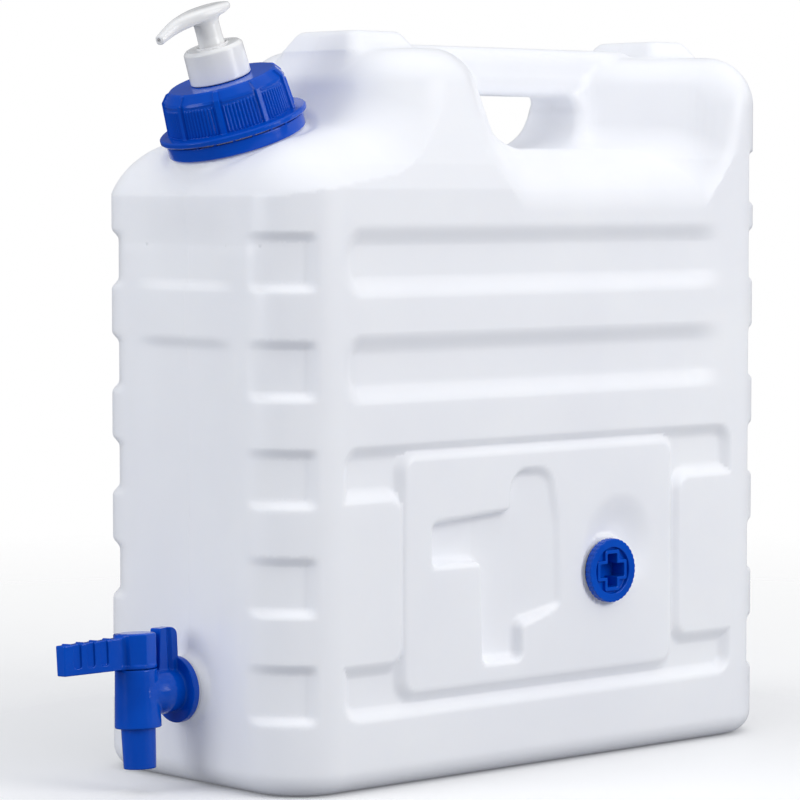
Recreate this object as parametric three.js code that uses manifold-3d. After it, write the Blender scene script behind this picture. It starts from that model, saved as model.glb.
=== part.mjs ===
// Jerry can, about 20 litres, with a screw cap that carries a soap pump, a
// quarter-turn tap and a parked closing plug. Millimetres, +Z up. The origin is
// the centre of the base. The tap end, called the front, faces -Y. The long
// sides face +X and -X.
import * as THREE from "three";
import { mergeVertices } from "three/addons/utils/BufferGeometryUtils.js";
import Module from "manifold-3d";

const manifold = await Module();
manifold.setup();

const FULL_TURN = 2 * Math.PI;

// ------------------------------------------------------------ shared dimensions
const HALF_WIDTH = 178.2 / 2; // X
const HALF_LENGTH = 383.7 / 2; // Y
const WALL = 2.4;

const NECK_TILT = THREE.MathUtils.degToRad(19.2);
const NECK_Y = -153.7; // centre of the tamper ring's lower face
const NECK_Z = 353.2;
const NECK_SEAT = -2.5; // shoulder plane, along the neck axis
const NECK_ROOT_R = 29.2;
const NECK_CREST_R = 31.4;
const NECK_BORE_R = 26.4;
const NECK_LIP = 29; // height of the rim along the neck axis

const TAP_Z = 53;
const TAP_FACE_Y = -193.8; // outer face of the boss the tap screws into
const TAP_ROLL = THREE.MathUtils.degToRad(3.5);
const BARREL_Y = -225.6;

const PLUG_Y = 46.9;
const PLUG_Z = 107.8;
const PLUG_SEAT_X = 87.4; // outer face of the parking socket

// Thread forms. "base" and "crest" are the ridge's width at its foot and tip.
const CAP_THREAD = { pitch: 6, turns: 1.25, segments: 24 };
const COLLAR_THREAD = { base: 1.2, pitch: 4.2, turns: 1.2, segments: 20 };
const TAP_THREAD = { base: 1.2, crest: 0.7, pitch: 3, turns: 2.2, segments: 20 };
const TAP_ROOT_R = 11.6; // male thread of the tap and of the plug
const TAP_CREST_R = 12.7;

// ------------------------------------------------------------ solids
function toSolid(geometry) {
  const bare = geometry.clone();
  bare.deleteAttribute("normal");
  bare.deleteAttribute("uv");
  const merged = mergeVertices(bare, 1e-4);
  return new manifold.Manifold(
    new manifold.Mesh({
      numProp: 3,
      vertProperties: new Float32Array(merged.attributes.position.array),
      triVerts: new Uint32Array(merged.index.array),
    }),
  );
}

function toGeometry(solid) {
  const mesh = solid.getMesh();
  const geometry = new THREE.BufferGeometry();
  geometry.setAttribute("position", new THREE.Float32BufferAttribute(mesh.vertProperties, 3));
  return geometry.setIndex(Array.from(mesh.triVerts));
}

const moved = (solid, matrix) => toSolid(toGeometry(solid).applyMatrix4(matrix));
const joined = (solids) => solids.reduce((sum, solid) => sum.add(solid));
const carved = (stock, cutters) => cutters.reduce((rest, cutter) => rest.subtract(cutter), stock);

// ------------------------------------------------------------ frames
const vec = (x, y, z) => new THREE.Vector3(x, y, z);

// Makes a function that gives the frame with these axes at a chosen origin.
const frameMaker =
  (xAxis, yAxis, zAxis) =>
  (x = 0, y = 0, z = 0) =>
    new THREE.Matrix4().makeBasis(vec(...xAxis), vec(...yAxis), vec(...zAxis)).setPosition(x, y, z);

// Each is named after the direction its local +Z takes.
const facingPlusX = frameMaker([0, 1, 0], [0, 0, 1], [1, 0, 0]);
const facingMinusX = frameMaker([0, 0, 1], [0, 1, 0], [-1, 0, 0]);
const facingPlusY = frameMaker([1, 0, 0], [0, 0, -1], [0, 1, 0]);
const facingMinusY = frameMaker([1, 0, 0], [0, 0, 1], [0, -1, 0]);

const neckFrame = new THREE.Matrix4().makeRotationX(NECK_TILT).setPosition(0, NECK_Y, NECK_Z);
// Local +Z points out of the can, local +Y up.
const tapFrame = facingMinusY(0, TAP_FACE_Y, TAP_Z);
const plugFrame = facingPlusX(PLUG_SEAT_X, PLUG_Y, PLUG_Z);

// ------------------------------------------------------------ outlines and prisms
const flat = (x, y) => new THREE.Vector2(x, y);
const polar = (radius, angle) => flat(radius * Math.cos(angle), radius * Math.sin(angle));
const MIN_FILLET = 0.4; // a rounded corner stays at least this round when inset

// A closed polygon given as [x, y, radius] corners, anticlockwise, moved
// inwards by "inset" and rounded with one segment per "step" degrees.
function outline(corners, inset = 0, step = 18) {
  const count = corners.length;
  const edges = corners.map(([x, y], i) => {
    const [nextX, nextY] = corners[(i + 1) % count];
    const along = flat(nextX - x, nextY - y).normalize();
    return { point: flat(x - along.y * inset, y + along.x * inset), along };
  });
  return corners.flatMap(([, , fillet], i) => {
    const before = edges[(i + count - 1) % count];
    const after = edges[i];
    const cross = before.along.cross(after.along);
    const reach = after.point.clone().sub(before.point).cross(after.along) / cross;
    const corner = before.point.clone().addScaledVector(before.along, reach);
    if (!fillet) return [corner];

    const side = Math.sign(cross);
    const radius = Math.max(fillet - side * inset, MIN_FILLET);
    const turn = Math.atan2(cross, before.along.dot(after.along));
    const setBack = radius * Math.tan(Math.abs(turn) / 2);
    const start = corner.addScaledVector(before.along, -setBack);
    const toCentre = flat(-before.along.y, before.along.x).multiplyScalar(radius * side);
    const centre = start.clone().add(toCentre);
    const startAngle = Math.atan2(start.y - centre.y, start.x - centre.x);
    const degrees = Math.abs(THREE.MathUtils.radToDeg(turn));
    const segments = Math.max(1, Math.round(degrees / step));
    return Array.from({ length: segments + 1 }, (_, k) =>
      polar(radius, startAngle + (turn * k) / segments).add(centre),
    );
  });
}

function rect(left, low, right, high, radius = 0, step = 18) {
  const corners = [
    [left, low, radius],
    [right, low, radius],
    [right, high, radius],
    [left, high, radius],
  ];
  return outline(corners, 0, step);
}

// Extrudes an outline along the local +Z of a frame.
function prism(points, depth, frame) {
  const shape = new THREE.Shape(points);
  const geometry = new THREE.ExtrudeGeometry(shape, { depth, bevelEnabled: false, steps: 1 });
  return toSolid(geometry.applyMatrix4(frame));
}

const alongZ = (points, bottom, top) =>
  prism(points, top - bottom, new THREE.Matrix4().setPosition(0, 0, bottom));
// Points are (y, z).
const alongX = (points, from, to) => prism(points, to - from, facingPlusX(from));

// ------------------------------------------------------------ lofts and turnings
const ringAt = (points, z) => points.map((point) => vec(point.x, point.y, z));

// Faces between neighbouring rings, each as four vertex numbers.
function sideQuads(ringCount, pointCount) {
  const quads = [];
  for (let i = 0; i + 1 < ringCount; i++)
    for (let k = 0; k < pointCount; k++) {
      const here = i * pointCount + k;
      const next = i * pointCount + ((k + 1) % pointCount);
      quads.push([here, next, next + pointCount, here + pointCount]);
    }
  return quads;
}

const solidFrom = (points, index) =>
  toSolid(new THREE.BufferGeometry().setFromPoints(points).setIndex(index));

// Closed solid through rings of equal point count, lowest ring first. Each end
// is a fan round its centre.
function loft(rings) {
  const count = rings[0].length;
  const index = sideQuads(rings.length, count).flatMap(([here, next, nextUp, hereUp]) => [
    ...[here, next, nextUp],
    ...[here, nextUp, hereUp],
  ]);
  const centres = [rings[0], rings.at(-1)].map((ring) =>
    ring.reduce((sum, point) => sum.add(point), vec(0, 0, 0)).multiplyScalar(1 / count),
  );
  const bottomCentre = rings.length * count;
  const topCentre = bottomCentre + 1;
  const topRing = bottomCentre - count;
  for (let i = 0; i < count; i++) {
    const next = (i + 1) % count;
    index.push(bottomCentre, next, i);
    index.push(topCentre, topRing + i, topRing + next);
  }
  return solidFrom([...rings.flat(), ...centres], index);
}

// Right-hand helical ridge round Z. It rises from radius "foot" to radius
// "tip" and runs out to nothing at both ends.
function ridge({ foot, tip, base, crest, pitch, bottom, turns, segments }) {
  const FADE_STEPS = 3;
  const END_STEP = 0.15; // keeps a sliver of height at the very ends
  const ROOT_OVERLAP = 0.5; // sinks the ridge into the wall it stands on
  const inner = foot - Math.sign(tip - foot) * ROOT_OVERLAP;
  const count = Math.round(turns * segments);
  const rings = [];
  for (let i = 0; i <= count; i++) {
    const angle = (i / segments) * FULL_TURN;
    const height = bottom + (i / segments) * pitch;
    const fade = Math.min(1, (i + END_STEP) / FADE_STEPS, (count - i + END_STEP) / FADE_STEPS);
    const outer = foot + (tip - foot) * fade;
    const section = [
      [inner, -base / 2],
      [outer, -crest / 2],
      [outer, crest / 2],
      [inner, base / 2],
    ].map(([radius, rise]) =>
      vec(radius * Math.cos(angle), radius * Math.sin(angle), height + rise),
    );
    rings.push(tip > foot ? section : section.reverse());
  }
  const index = sideQuads(rings.length, 4).flatMap(([here, next, nextUp, hereUp]) => [
    ...[here, nextUp, next],
    ...[here, hereUp, nextUp],
  ]);
  const last = count * 4;
  index.push(0, 1, 2, 0, 2, 3);
  index.push(last, last + 2, last + 1, last, last + 3, last + 2);
  return solidFrom(rings.flat(), index);
}

// Solids of revolution round Z. Every profile lists [radius, height].
function turned(profile, segments) {
  const points = profile.map(([radius, height]) => flat(radius, height));
  return toSolid(new THREE.LatheGeometry(points, segments).rotateX(Math.PI / 2));
}
const rod = (radius, bottom, top, segments) =>
  turned([[0, bottom], [radius, bottom], [radius, top], [0, top]], segments);
const tube = (inner, outer, bottom, top, segments) =>
  turned([[inner, bottom], [outer, bottom], [outer, top], [inner, top], [inner, bottom]], segments);

// ------------------------------------------------------------ canister
// Everything in this section is built at an inset: 0 gives the outer skin, WALL
// gives the hollow inside it.
const PLAN_CORNER = 37; // plan corner radius
const SHOULDER_TOP = 404.6; // flat shoulders beside the handle
const HANDLE_TOP = 408.7;
const HANDLE_UNDER = 382;
const HANDLE_HALF = 19; // half width of the grip bar
const SCOOP_FLOOR = 349.5;
const PAD_TOP = 415;
const STOCK_BOTTOM = -10; // below the base, trimmed off by the hull
const STOCK_TOP = 430; // above everything
const CUT_TOP = 470; // top of the cutters that work from above

// The hollow is drawn with coarser corners.
const arcStep = (inset) => (inset > 0 ? 45 : 22.5);

// Plan outline, moved inwards by "shift" beyond the inset.
const plan = (inset, shift = 0) =>
  outline(
    [
      [-HALF_WIDTH, -HALF_LENGTH, PLAN_CORNER],
      [HALF_WIDTH, -HALF_LENGTH, PLAN_CORNER],
      [HALF_WIDTH, HALF_LENGTH, PLAN_CORNER],
      [-HALF_WIDTH, HALF_LENGTH, PLAN_CORNER],
    ],
    shift + inset,
    arcStep(inset),
  );

// Rounded base edge and straight walls: height, shift inwards.
const HULL_STATIONS = [
  [0, 12],
  [1.6, 7.4],
  [4.6, 3.6],
  [9, 1.2],
  [15, 0],
  [STOCK_TOP, 0],
];

const hull = (inset) =>
  loft(
    HULL_STATIONS.map(([z, shift]) =>
      ringAt(plan(inset, shift), z + (z < STOCK_TOP ? inset : 0)),
    ),
  );

// Sloping front shoulder that carries the neck.
function frontShoulder(inset) {
  const BACK_Y = -60;
  const slope = Math.tan(NECK_TILT);
  const seatY = NECK_Y - NECK_SEAT * Math.sin(NECK_TILT);
  const seatZ = NECK_Z + NECK_SEAT * Math.cos(NECK_TILT);
  const topAt = (y) => seatZ + (y - seatY) * slope;
  const sideView = [
    [-HALF_LENGTH, STOCK_BOTTOM, 0],
    [BACK_Y, STOCK_BOTTOM, 0],
    [BACK_Y, topAt(BACK_Y), 0],
    [-HALF_LENGTH, topAt(-HALF_LENGTH), 36],
  ];
  // Rounds the long top edges, seen along the slope.
  const DEPTH = 420;
  const EDGE_R = 34;
  const endView = [
    [-HALF_WIDTH, -DEPTH, 0],
    [HALF_WIDTH, -DEPTH, 0],
    [HALF_WIDTH, NECK_SEAT, EDGE_R],
    [-HALF_WIDTH, NECK_SEAT, EDGE_R],
  ];
  const slopeFrame = neckFrame.clone().multiply(facingMinusY(0, 200, 0));
  const wedge = alongX(outline(sideView, inset), -HALF_WIDTH - 5, HALF_WIDTH + 5);
  return wedge.intersect(prism(outline(endView, inset, arcStep(inset)), 400, slopeFrame));
}

// Block that carries the handle: height, half width and y of the front, then
// how far the rear draws in from the hull's sides and from its end.
const BLOCK_STATIONS = [
  [STOCK_BOTTOM, HALF_WIDTH, -130, 0, 0],
  [326, HALF_WIDTH, -119, 0, 0],
  [352, 84.5, -113, 0, 0],
  [374, 79.5, -108, 0.2, 0.2],
  [387, 76.5, -105, 3.2, 3.2],
  [396.4, 71, -101.6, 9.4, 9],
  [402.4, 63.2, -96.4, 17.6, 16.8],
  [SHOULDER_TOP, 54, -90, 26, 25],
];

function handleBlock(inset) {
  const rings = BLOCK_STATIONS.map(([z, frontHalf, frontY, sideDraw, endDraw]) => {
    const rearHalf = HALF_WIDTH - sideDraw;
    const rearY = HALF_LENGTH - endDraw;
    const corners = [
      [-frontHalf, frontY, 38],
      [frontHalf, frontY, 38],
      [rearHalf, rearY, 37],
      [-rearHalf, rearY, 37],
    ];
    // The closing top of the hollow is lowered by the wall.
    const drop = sideDraw > 0 ? inset : 0;
    return ringAt(outline(corners, inset, arcStep(inset)), z - drop);
  });
  return loft(rings);
}

// Plan of the hand scoop on +X: x, y, corner radius.
const SCOOP_PLAN = [
  [HANDLE_HALF, 95, 30],
  [HANDLE_HALF, 8, 22],
  [72, -38, 26],
  [130, -50, 0],
  [130, 160, 0],
  [72, 146, 40],
];
const SCOOP_DRAFT = 11; // how much the scoop narrows towards its floor
const ROLL_OVER_R = 36;

// Cutters for the scoop on one side of the grip, side +1 or -1.
function scoopCutters(inset, side) {
  const onSide = (points) =>
    side > 0 ? points : points.map((point) => flat(-point.x, point.y)).reverse();
  const at = (shift, z) => ringAt(onSide(outline(SCOOP_PLAN, shift - inset, 15)), z);
  const upperRings = [
    at(SCOOP_DRAFT, SCOOP_FLOOR - inset),
    at(0, HANDLE_UNDER),
    at(0, CUT_TOP),
  ];

  // The floor of the scoop rolls over into the long side: x, z.
  const centre = flat(HALF_WIDTH - ROLL_OVER_R, SCOOP_FLOOR - ROLL_OVER_R);
  const rollOver = [];
  for (let k = 0; k <= 5; k++)
    rollOver.push(polar(ROLL_OVER_R - inset, (Math.PI / 2) * (k / 5)).add(centre));
  rollOver.push(
    flat(centre.x, CUT_TOP),
    flat(HALF_WIDTH + 20, CUT_TOP),
    flat(HALF_WIDTH + 20, centre.y),
  );
  const deepScoop = loft([at(SCOOP_DRAFT, centre.y - inset), ...upperRings]);
  const rollOverBar = prism(onSide(rollOver), 260, facingMinusY(0, 180, 0));
  return [loft(upperRings), rollOverBar.intersect(deepScoop)];
}

// Hand opening through the middle web: y, z, corner radius.
const HAND_OPENING = [
  [5, SCOOP_FLOOR, 7],
  [86, SCOOP_FLOOR, 7],
  [93, HANDLE_UNDER, 9],
  [-4, HANDLE_UNDER, 9],
];

function gripBar(inset) {
  const REAR_Y = 142;
  const LENGTH = 200;
  const section = [
    [-HANDLE_HALF, HANDLE_UNDER, 8],
    [HANDLE_HALF, HANDLE_UNDER, 8],
    [HANDLE_HALF, HANDLE_TOP, 10],
    [-HANDLE_HALF, HANDLE_TOP, 10],
  ];
  return prism(outline(section, inset), LENGTH - 2 * inset, facingMinusY(0, REAR_Y - inset, 0));
}

// Stacking pads: front y, rear y.
const PADS = [
  [-91, -53],
  [150.5, 179],
];
const PAD_ROOT_Z = 392;
// Half width, growth at front and rear, corner radius, height.
const PAD_STATIONS = [
  [33, 8, 8, PAD_ROOT_Z],
  [32, 7, 8, SHOULDER_TOP - 1],
  [27, 0, 6, PAD_TOP - 2.5],
  [24, -3, 5, PAD_TOP],
];

function stackingPad(inset, [frontY, rearY]) {
  const rings = PAD_STATIONS.map(([half, growth, radius, z]) => {
    const right = half - inset;
    const low = frontY - growth + inset;
    const high = rearY + growth - inset;
    const drop = z > PAD_ROOT_Z ? inset : 0;
    return ringAt(rect(-right, low, right, high, radius, 30), z - drop);
  });
  return loft(rings);
}

// Cutter that takes a band off the walls between two heights. It leaves a core
// through stations of [shift inwards, height].
function wallBand(inset, bottom, top, stations) {
  const slab = alongZ(rect(-120, -230, 120, 230, 1, 90), bottom, top);
  return slab.subtract(loft(stations.map(([shift, z]) => ringAt(plan(inset, shift), z))));
}

const FLANK = 4 * 0.6; // height of a groove's sloping flank inside its edge
const FLANK_INSET = 0.6; // share of the inset by which the hollow's flanks spread
const GROOVE_HEIGHT = 29;
const GROOVE_DEPTH = 4;
const SIDE_DEPTH = 5; // grooves and recessed fields of the long sides
const FRONT_RECESS = 2.8;
const grooveBottom = (i) => 41 + i * 58;

// Plan zones the grooves are kept to: x from, x to, y from, y to.
const FRONT_FACE = [[-41, 41, -220, -170]];
const FRONT_CORNERS = [
  [52, 110, -220, -170],
  [-110, -52, -220, -170],
];
const REAR = [
  [52, 110, 170, 220],
  [-110, -52, 170, 220],
  [-41, 41, 170, 220],
];
const LONG_SIDES = [
  [70, 110, -153, 141],
  [-110, -70, -153, 141],
];

// One of the evenly pitched grooves.
const pitchedGroove = (i, depth, zones) => [
  grooveBottom(i),
  grooveBottom(i) + GROOVE_HEIGHT,
  depth,
  zones,
];
// Bottom, top, depth, zones.
const GROOVES = [
  ...[0, 1, 2, 3, 4].map((i) => pitchedGroove(i, GROOVE_DEPTH, [...FRONT_CORNERS, ...REAR])),
  [318, 348, GROOVE_DEPTH, REAR],
  pitchedGroove(3, SIDE_DEPTH, LONG_SIDES),
  pitchedGroove(4, SIDE_DEPTH, LONG_SIDES),
  // Two recesses leave one raised band across the front face.
  [grooveBottom(0), grooveBottom(3) + GROOVE_HEIGHT, FRONT_RECESS, FRONT_FACE],
  [grooveBottom(4), 312, FRONT_RECESS, FRONT_FACE],
];

function groove(inset, [bottom, top, depth, zones]) {
  const mask = joined(
    zones.map(([left, right, low, high]) => {
      const area = rect(left - inset, low - inset, right + inset, high + inset, 3, 45);
      return alongZ(area, 0, STOCK_TOP);
    }),
  );
  const band = wallBand(inset, bottom - 2 - inset, top + 2 + inset, [
    [-2, bottom - 2.01 - inset],
    [depth, bottom + FLANK - inset * FLANK_INSET],
    [depth, top - FLANK + inset * FLANK_INSET],
    [-2, top + 2.01 + inset],
  ]);
  return band.intersect(mask);
}

// Raised panels of the long sides: y from, y to, z from, z to.
const SIDE_PANELS = [
  [-155, -114, 70, 157],
  [-108, 98, 52, 179],
  [108, 152, 66, 157],
];

// Cutter for the recessed field of one long side, side +1 or -1.
function sideField(inset, side) {
  const band = wallBand(inset, 40 - inset, 187 + inset, [
    [-1.5, 39 - inset],
    [SIDE_DEPTH, 44 - inset * FLANK_INSET],
    [SIDE_DEPTH, 183 + inset * FLANK_INSET],
    [-1.5, 188 + inset],
  ]);
  const window = rect(-153 - inset, 30, 150 + inset, 200, 10, 30);
  const field = band.intersect(alongX(window, side > 0 ? 60 : -120, side > 0 ? 120 : -60));
  // Growth of a panel's outline, distance from the middle plane.
  const panelStations = [
    [4, 70],
    [3.2, HALF_WIDTH - SIDE_DEPTH - inset],
    [0, HALF_WIDTH - inset],
    [-0.3, 125],
  ];
  const panels = SIDE_PANELS.map(([fromY, toY, fromZ, toZ]) => {
    const rings = panelStations.map(([growth, x]) => {
      const spread = growth - inset;
      const face = rect(fromY - spread, fromZ - spread, toY + spread, toZ + spread, 9, 30);
      // On -X the ring is mirrored about the panel's centre to keep its winding.
      return face.map((point) =>
        side > 0 ? vec(x, point.x, point.y) : vec(-x, fromY + toY - point.x, point.y),
      );
    });
    return loft(rings);
  });
  return carved(field, panels);
}

// Stowage pocket for the tap in the +X panel: y, z, corner radius.
const POCKET = [
  [-89, 119, 3],
  [-52.5, 119, 3],
  [-51, 62, 5],
  [-21, 62, 5],
  [-21, 82, 4],
  [9.5, 90, 6],
  [8, 138, 4],
  [2, 169, 12],
  [-28, 169, 12],
  [-30, 147, 3],
  [-89, 143, 4],
];
const POCKET_DEPTH = 10;

// Conical dish round the parked plug.
function plugDish(inset) {
  const profile = [
    [0, -3 - inset],
    [17 + inset, -3 - inset],
    [27 + inset, 3],
    [27 + inset, 30],
    [0, 30],
  ];
  return moved(turned(profile, 24), facingPlusX(HALF_WIDTH - 1, 56, 122));
}

function canister(inset) {
  const stock = frontShoulder(inset).add(handleBlock(inset)).intersect(hull(inset));
  const scooped = carved(stock, [
    ...scoopCutters(inset, 1),
    ...scoopCutters(inset, -1),
    alongX(outline(HAND_OPENING, -inset), -60, 60),
  ]);
  const pads = PADS.map((pad) => stackingPad(inset, pad));
  return carved(joined([scooped, gripBar(inset), ...pads]), [
    ...GROOVES.map((entry) => groove(inset, entry)),
    sideField(inset, 1),
    sideField(inset, -1),
    alongX(outline(POCKET, -inset, 30), HALF_WIDTH - POCKET_DEPTH - inset, HALF_WIDTH + 30),
    plugDish(inset),
  ]);
}

// ------------------------------------------------------------ can body
const BOSS_R = 16.4;
const PLUG_DRUM_R = 20.5;
const SOCKET_R = 13.5; // female side in the can
const SOCKET_TIP_R = 12.2;

function neck() {
  const collarAndTube = [
    [0, -14],
    [NECK_ROOT_R, -14],
    [NECK_ROOT_R, 3.4],
    [33.4, 3.8],
    [32.6, 6],
    [NECK_ROOT_R, 6.8],
    [NECK_ROOT_R, NECK_LIP],
    [0, NECK_LIP],
  ];
  const thread = { ...CAP_THREAD, foot: NECK_ROOT_R, tip: NECK_CREST_R, base: 2.6, crest: 1.4 };
  return [
    rod(NECK_ROOT_R + 2.2, -14, NECK_SEAT + 1.2, 24),
    turned(collarAndTube, 24),
    ridge({ ...thread, bottom: 15.4 }),
  ].map((solid) => moved(solid, neckFrame));
}

// Skin with the neck, the tap's boss and the drum of the parking socket.
const outerSkin = () =>
  joined([
    canister(0),
    ...neck(),
    moved(rod(BOSS_R, -14, 0, 20), tapFrame),
    moved(rod(PLUG_DRUM_R, -9, 0, 20), plugFrame),
  ]).subtract(moved(rod(PLUG_DRUM_R, 0, 12, 20), plugFrame));

// Hollow, opened through the neck and kept clear of both sockets.
const innerHollow = () =>
  carved(canister(WALL).add(moved(rod(NECK_BORE_R, -30, NECK_LIP + 5, 24), neckFrame)), [
    moved(rod(BOSS_R, -18, 4, 20), tapFrame),
    moved(rod(BOSS_R, -16, 4, 20), plugFrame),
    moved(rod(23, -2.4, 4, 20), plugFrame),
  ]);

function canisterBody() {
  let shell = outerSkin().subtract(innerHollow());
  const thread = ridge({ ...TAP_THREAD, foot: SOCKET_R, tip: SOCKET_TIP_R, bottom: -11.5 });
  // The tap's socket goes right through, the plug's is blind.
  for (const [frame, bottom] of [
    [tapFrame, -40],
    [plugFrame, -14],
  ])
    shell = shell.subtract(moved(rod(SOCKET_R, bottom, 6, 20), frame)).add(moved(thread, frame));
  return shell;
}

// ------------------------------------------------------------ cap and bottle
// Heights in this section and the next run along the neck axis.
const CAP_SKIRT_R = 32.2; // inside
const CAP_TIP_R = 30;
const CAP_FLANGE_R = 41.5;
const CAP_FLANGE_BOTTOM = 8.5;
const CAP_TOP = 35.6;
const CAP_TOP_UNDER = 33.3;
const CAP_HOLE_R = 14.3;
const CAP_RIBS = 9;
const BOTTLE_NECK_R = 12.5;
const BOTTLE_CREST_R = 13.6;

const tamperRing = () =>
  turned(
    [
      [31.2, 0.3],
      [33, 0],
      [38.2, 0],
      [38.8, 0.7],
      [38.8, 7.3],
      [35.2, 7.3],
      [35.2, 2.6],
      [31.2, 2.3],
      [31.2, 0.3],
    ],
    24,
  );

function screwCap() {
  const profile = [
    [CAP_SKIRT_R, CAP_FLANGE_BOTTOM],
    [CAP_FLANGE_R - 0.6, CAP_FLANGE_BOTTOM],
    [CAP_FLANGE_R, 9.1],
    [CAP_FLANGE_R, 11.1],
    [CAP_FLANGE_R - 0.8, 11.7],
    [34.9, 12.2],
    [33.5, 30.6],
    [30.2, 34.8],
    [29.4, CAP_TOP],
    [CAP_HOLE_R, CAP_TOP],
    [CAP_HOLE_R, CAP_TOP_UNDER],
    [29.4, CAP_TOP_UNDER],
    [CAP_SKIRT_R, 30.4],
    [CAP_SKIRT_R, CAP_FLANGE_BOTTOM],
  ];
  const rib = loft([
    ringAt(rect(32.6, -2.2, 35.9, 2.2), 10),
    ringAt(rect(32.6, -2.0, 34.5, 2.0), 31.2),
    ringAt(rect(29.2, -1.8, 31.2, 1.8), 34.6),
  ]);
  let cap = turned(profile, 24);
  for (let i = 0; i < CAP_RIBS; i++) {
    const angle = ((i + 0.8) / CAP_RIBS) * FULL_TURN;
    cap = cap.add(moved(rib, new THREE.Matrix4().makeRotationZ(angle)));
  }
  const thread = { ...CAP_THREAD, foot: CAP_SKIRT_R, tip: CAP_TIP_R, base: 2.4, crest: 1.2 };
  return cap.add(ridge({ ...thread, bottom: 12.4 }));
}

// Soap bottle that hangs in the can from a flange under the cap's top.
function soapBottle() {
  const profile = [
    [0, -95],
    [21, -95],
    [24.3, -91.5],
    [24.3, 31.1],
    [28.9, 31.1],
    [28.9, 33],
    [13.5, 33],
    [13.5, 35.6],
    [BOTTLE_NECK_R, 36.2],
    [BOTTLE_NECK_R, 49.4],
    [10.6, 49.4],
    [10.6, 31.6],
    [22.8, 28],
    [22.8, -91],
    [20.6, -93.4],
    [0, -93.4],
  ];
  const thread = { ...COLLAR_THREAD, foot: BOTTLE_NECK_R, tip: BOTTLE_CREST_R, crest: 0.8 };
  return turned(profile, 20).add(ridge({ ...thread, bottom: 39.8 }));
}

// ------------------------------------------------------------ pump
const COLLAR_R = 17;
const COLLAR_INNER_R = 14.3;
const COLLAR_TIP_R = 13.05;
const COLLAR_BOTTOM = 36;
const COLLAR_TOP = 54.6;
const COLLAR_TOP_UNDER = 52.7;

function pumpCollar() {
  const profile = [
    [COLLAR_INNER_R, COLLAR_BOTTOM],
    [COLLAR_R - 0.3, COLLAR_BOTTOM],
    [COLLAR_R, COLLAR_BOTTOM + 0.4],
    [COLLAR_R - 0.2, COLLAR_TOP - 1.6],
    [COLLAR_R - 1.6, COLLAR_TOP],
    [8, COLLAR_TOP],
    [8, COLLAR_TOP_UNDER],
    [COLLAR_INNER_R, COLLAR_TOP_UNDER],
    [COLLAR_INNER_R, COLLAR_BOTTOM],
  ];
  const thread = { ...COLLAR_THREAD, foot: COLLAR_INNER_R, tip: COLLAR_TIP_R, crest: 0.7 };
  return turned(profile, 20).add(ridge({ ...thread, bottom: 37.8 }));
}

const pumpHousing = () =>
  turned(
    [
      [8.4, 52.4],
      [8.4, 38.5],
      [5.4, 38.5],
      [5.4, 2],
      [2.9, 2],
      [2.9, -3],
      [1.5, -4.6],
      [1.5, -7],
      [2.2, -7],
      [2.2, -13],
      [3.4, -13],
      [3.4, -6],
      [4.2, -4],
      [6.6, 0],
      [6.6, 36],
      [9.4, 37.2],
      [9.4, 51],
      [13.6, 51],
      [13.6, 52.4],
      [8.4, 52.4],
    ],
    20,
  );

const pumpGuide = () =>
  turned(
    [
      [3.9, 36.4],
      [5.1, 36.4],
      [5.1, 38.8],
      [8.1, 38.8],
      [8.1, 40.2],
      [5.3, 40.2],
      [5.3, 50],
      [3.9, 50],
      [3.9, 36.4],
    ],
    20,
  );

const pistonSeal = () =>
  turned(
    [
      [3.7, 26],
      [4.6, 25.2],
      [5.1, 25.2],
      [4.9, 28],
      [5.1, 31],
      [4.6, 31],
      [3.7, 30],
      [3.7, 26],
    ],
    20,
  );

const inletBall = () => new THREE.SphereGeometry(2.2, 12, 8).translate(0, 0, -2.5);

const SPRING = { radius: 4.3, bottom: 2.8, top: 24.2, turns: 7, wireRadius: 0.42 };

class Coil extends THREE.Curve {
  getPoint(t, target = new THREE.Vector3()) {
    const { radius, bottom, top, turns } = SPRING;
    const { x, y } = polar(radius, t * turns * FULL_TURN);
    return target.set(x, y, bottom + (top - bottom) * t);
  }
}

function pumpSpring() {
  const wire = [];
  for (let i = 0; i < 5; i++) wire.push(polar(SPRING.wireRadius, (i / 5) * FULL_TURN));
  return new THREE.ExtrudeGeometry(new THREE.Shape(wire), {
    steps: 56,
    bevelEnabled: false,
    extrudePath: new Coil(),
  });
}

// Flat spoon of the head, from its rear to the drooping nozzle at the front:
// y, half width, underside, top.
const SPOON_STATIONS = [
  [19.8, 2.6, 71.2, 73.4],
  [18, 6.2, 69.8, 74.4],
  [13, 9.0, 67.6, 75.4],
  [4, 9.9, 66.0, 76.4],
  [-6, 8.6, 66.2, 76.8],
  [-14, 6.2, 67.6, 76.4],
  [-22, 3.9, 68.2, 75.2],
  [-29, 3.0, 67.4, 72.8],
  [-34.4, 2.6, 66.2, 70.0],
];
const SPOON_POINTS = 12;
const SPOON_EXPONENT = 0.75; // below 1 makes the oval section squarer

// Skirt and stem socket under the spoon.
const HEAD_SKIRT = [
  [0, 61],
  [4.9, 61],
  [4.9, 64.6],
  [6.3, 64.6],
  [6.3, 51.2],
  [7.4, 52.2],
  [7.0, 60],
  [7.0, 70],
  [0, 70],
];
// Soap channel through the spoon: y, z.
const CHANNEL = [
  [0, 71],
  [-24, 71.4],
  [-40, 66.2],
];
const CHANNEL_R = 1.25;
const CHANNEL_OVERLAP = 0.6;

function spoonRing([y, halfWidth, underside, top]) {
  const squared = (value) => Math.sign(value) * Math.abs(value) ** SPOON_EXPONENT;
  return Array.from({ length: SPOON_POINTS }, (_, k) => {
    const angle = (k / SPOON_POINTS) * FULL_TURN;
    const rise = ((top - underside) / 2) * squared(Math.sin(angle));
    return vec(halfWidth * squared(Math.cos(angle)), y, (underside + top) / 2 + rise);
  });
}

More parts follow.
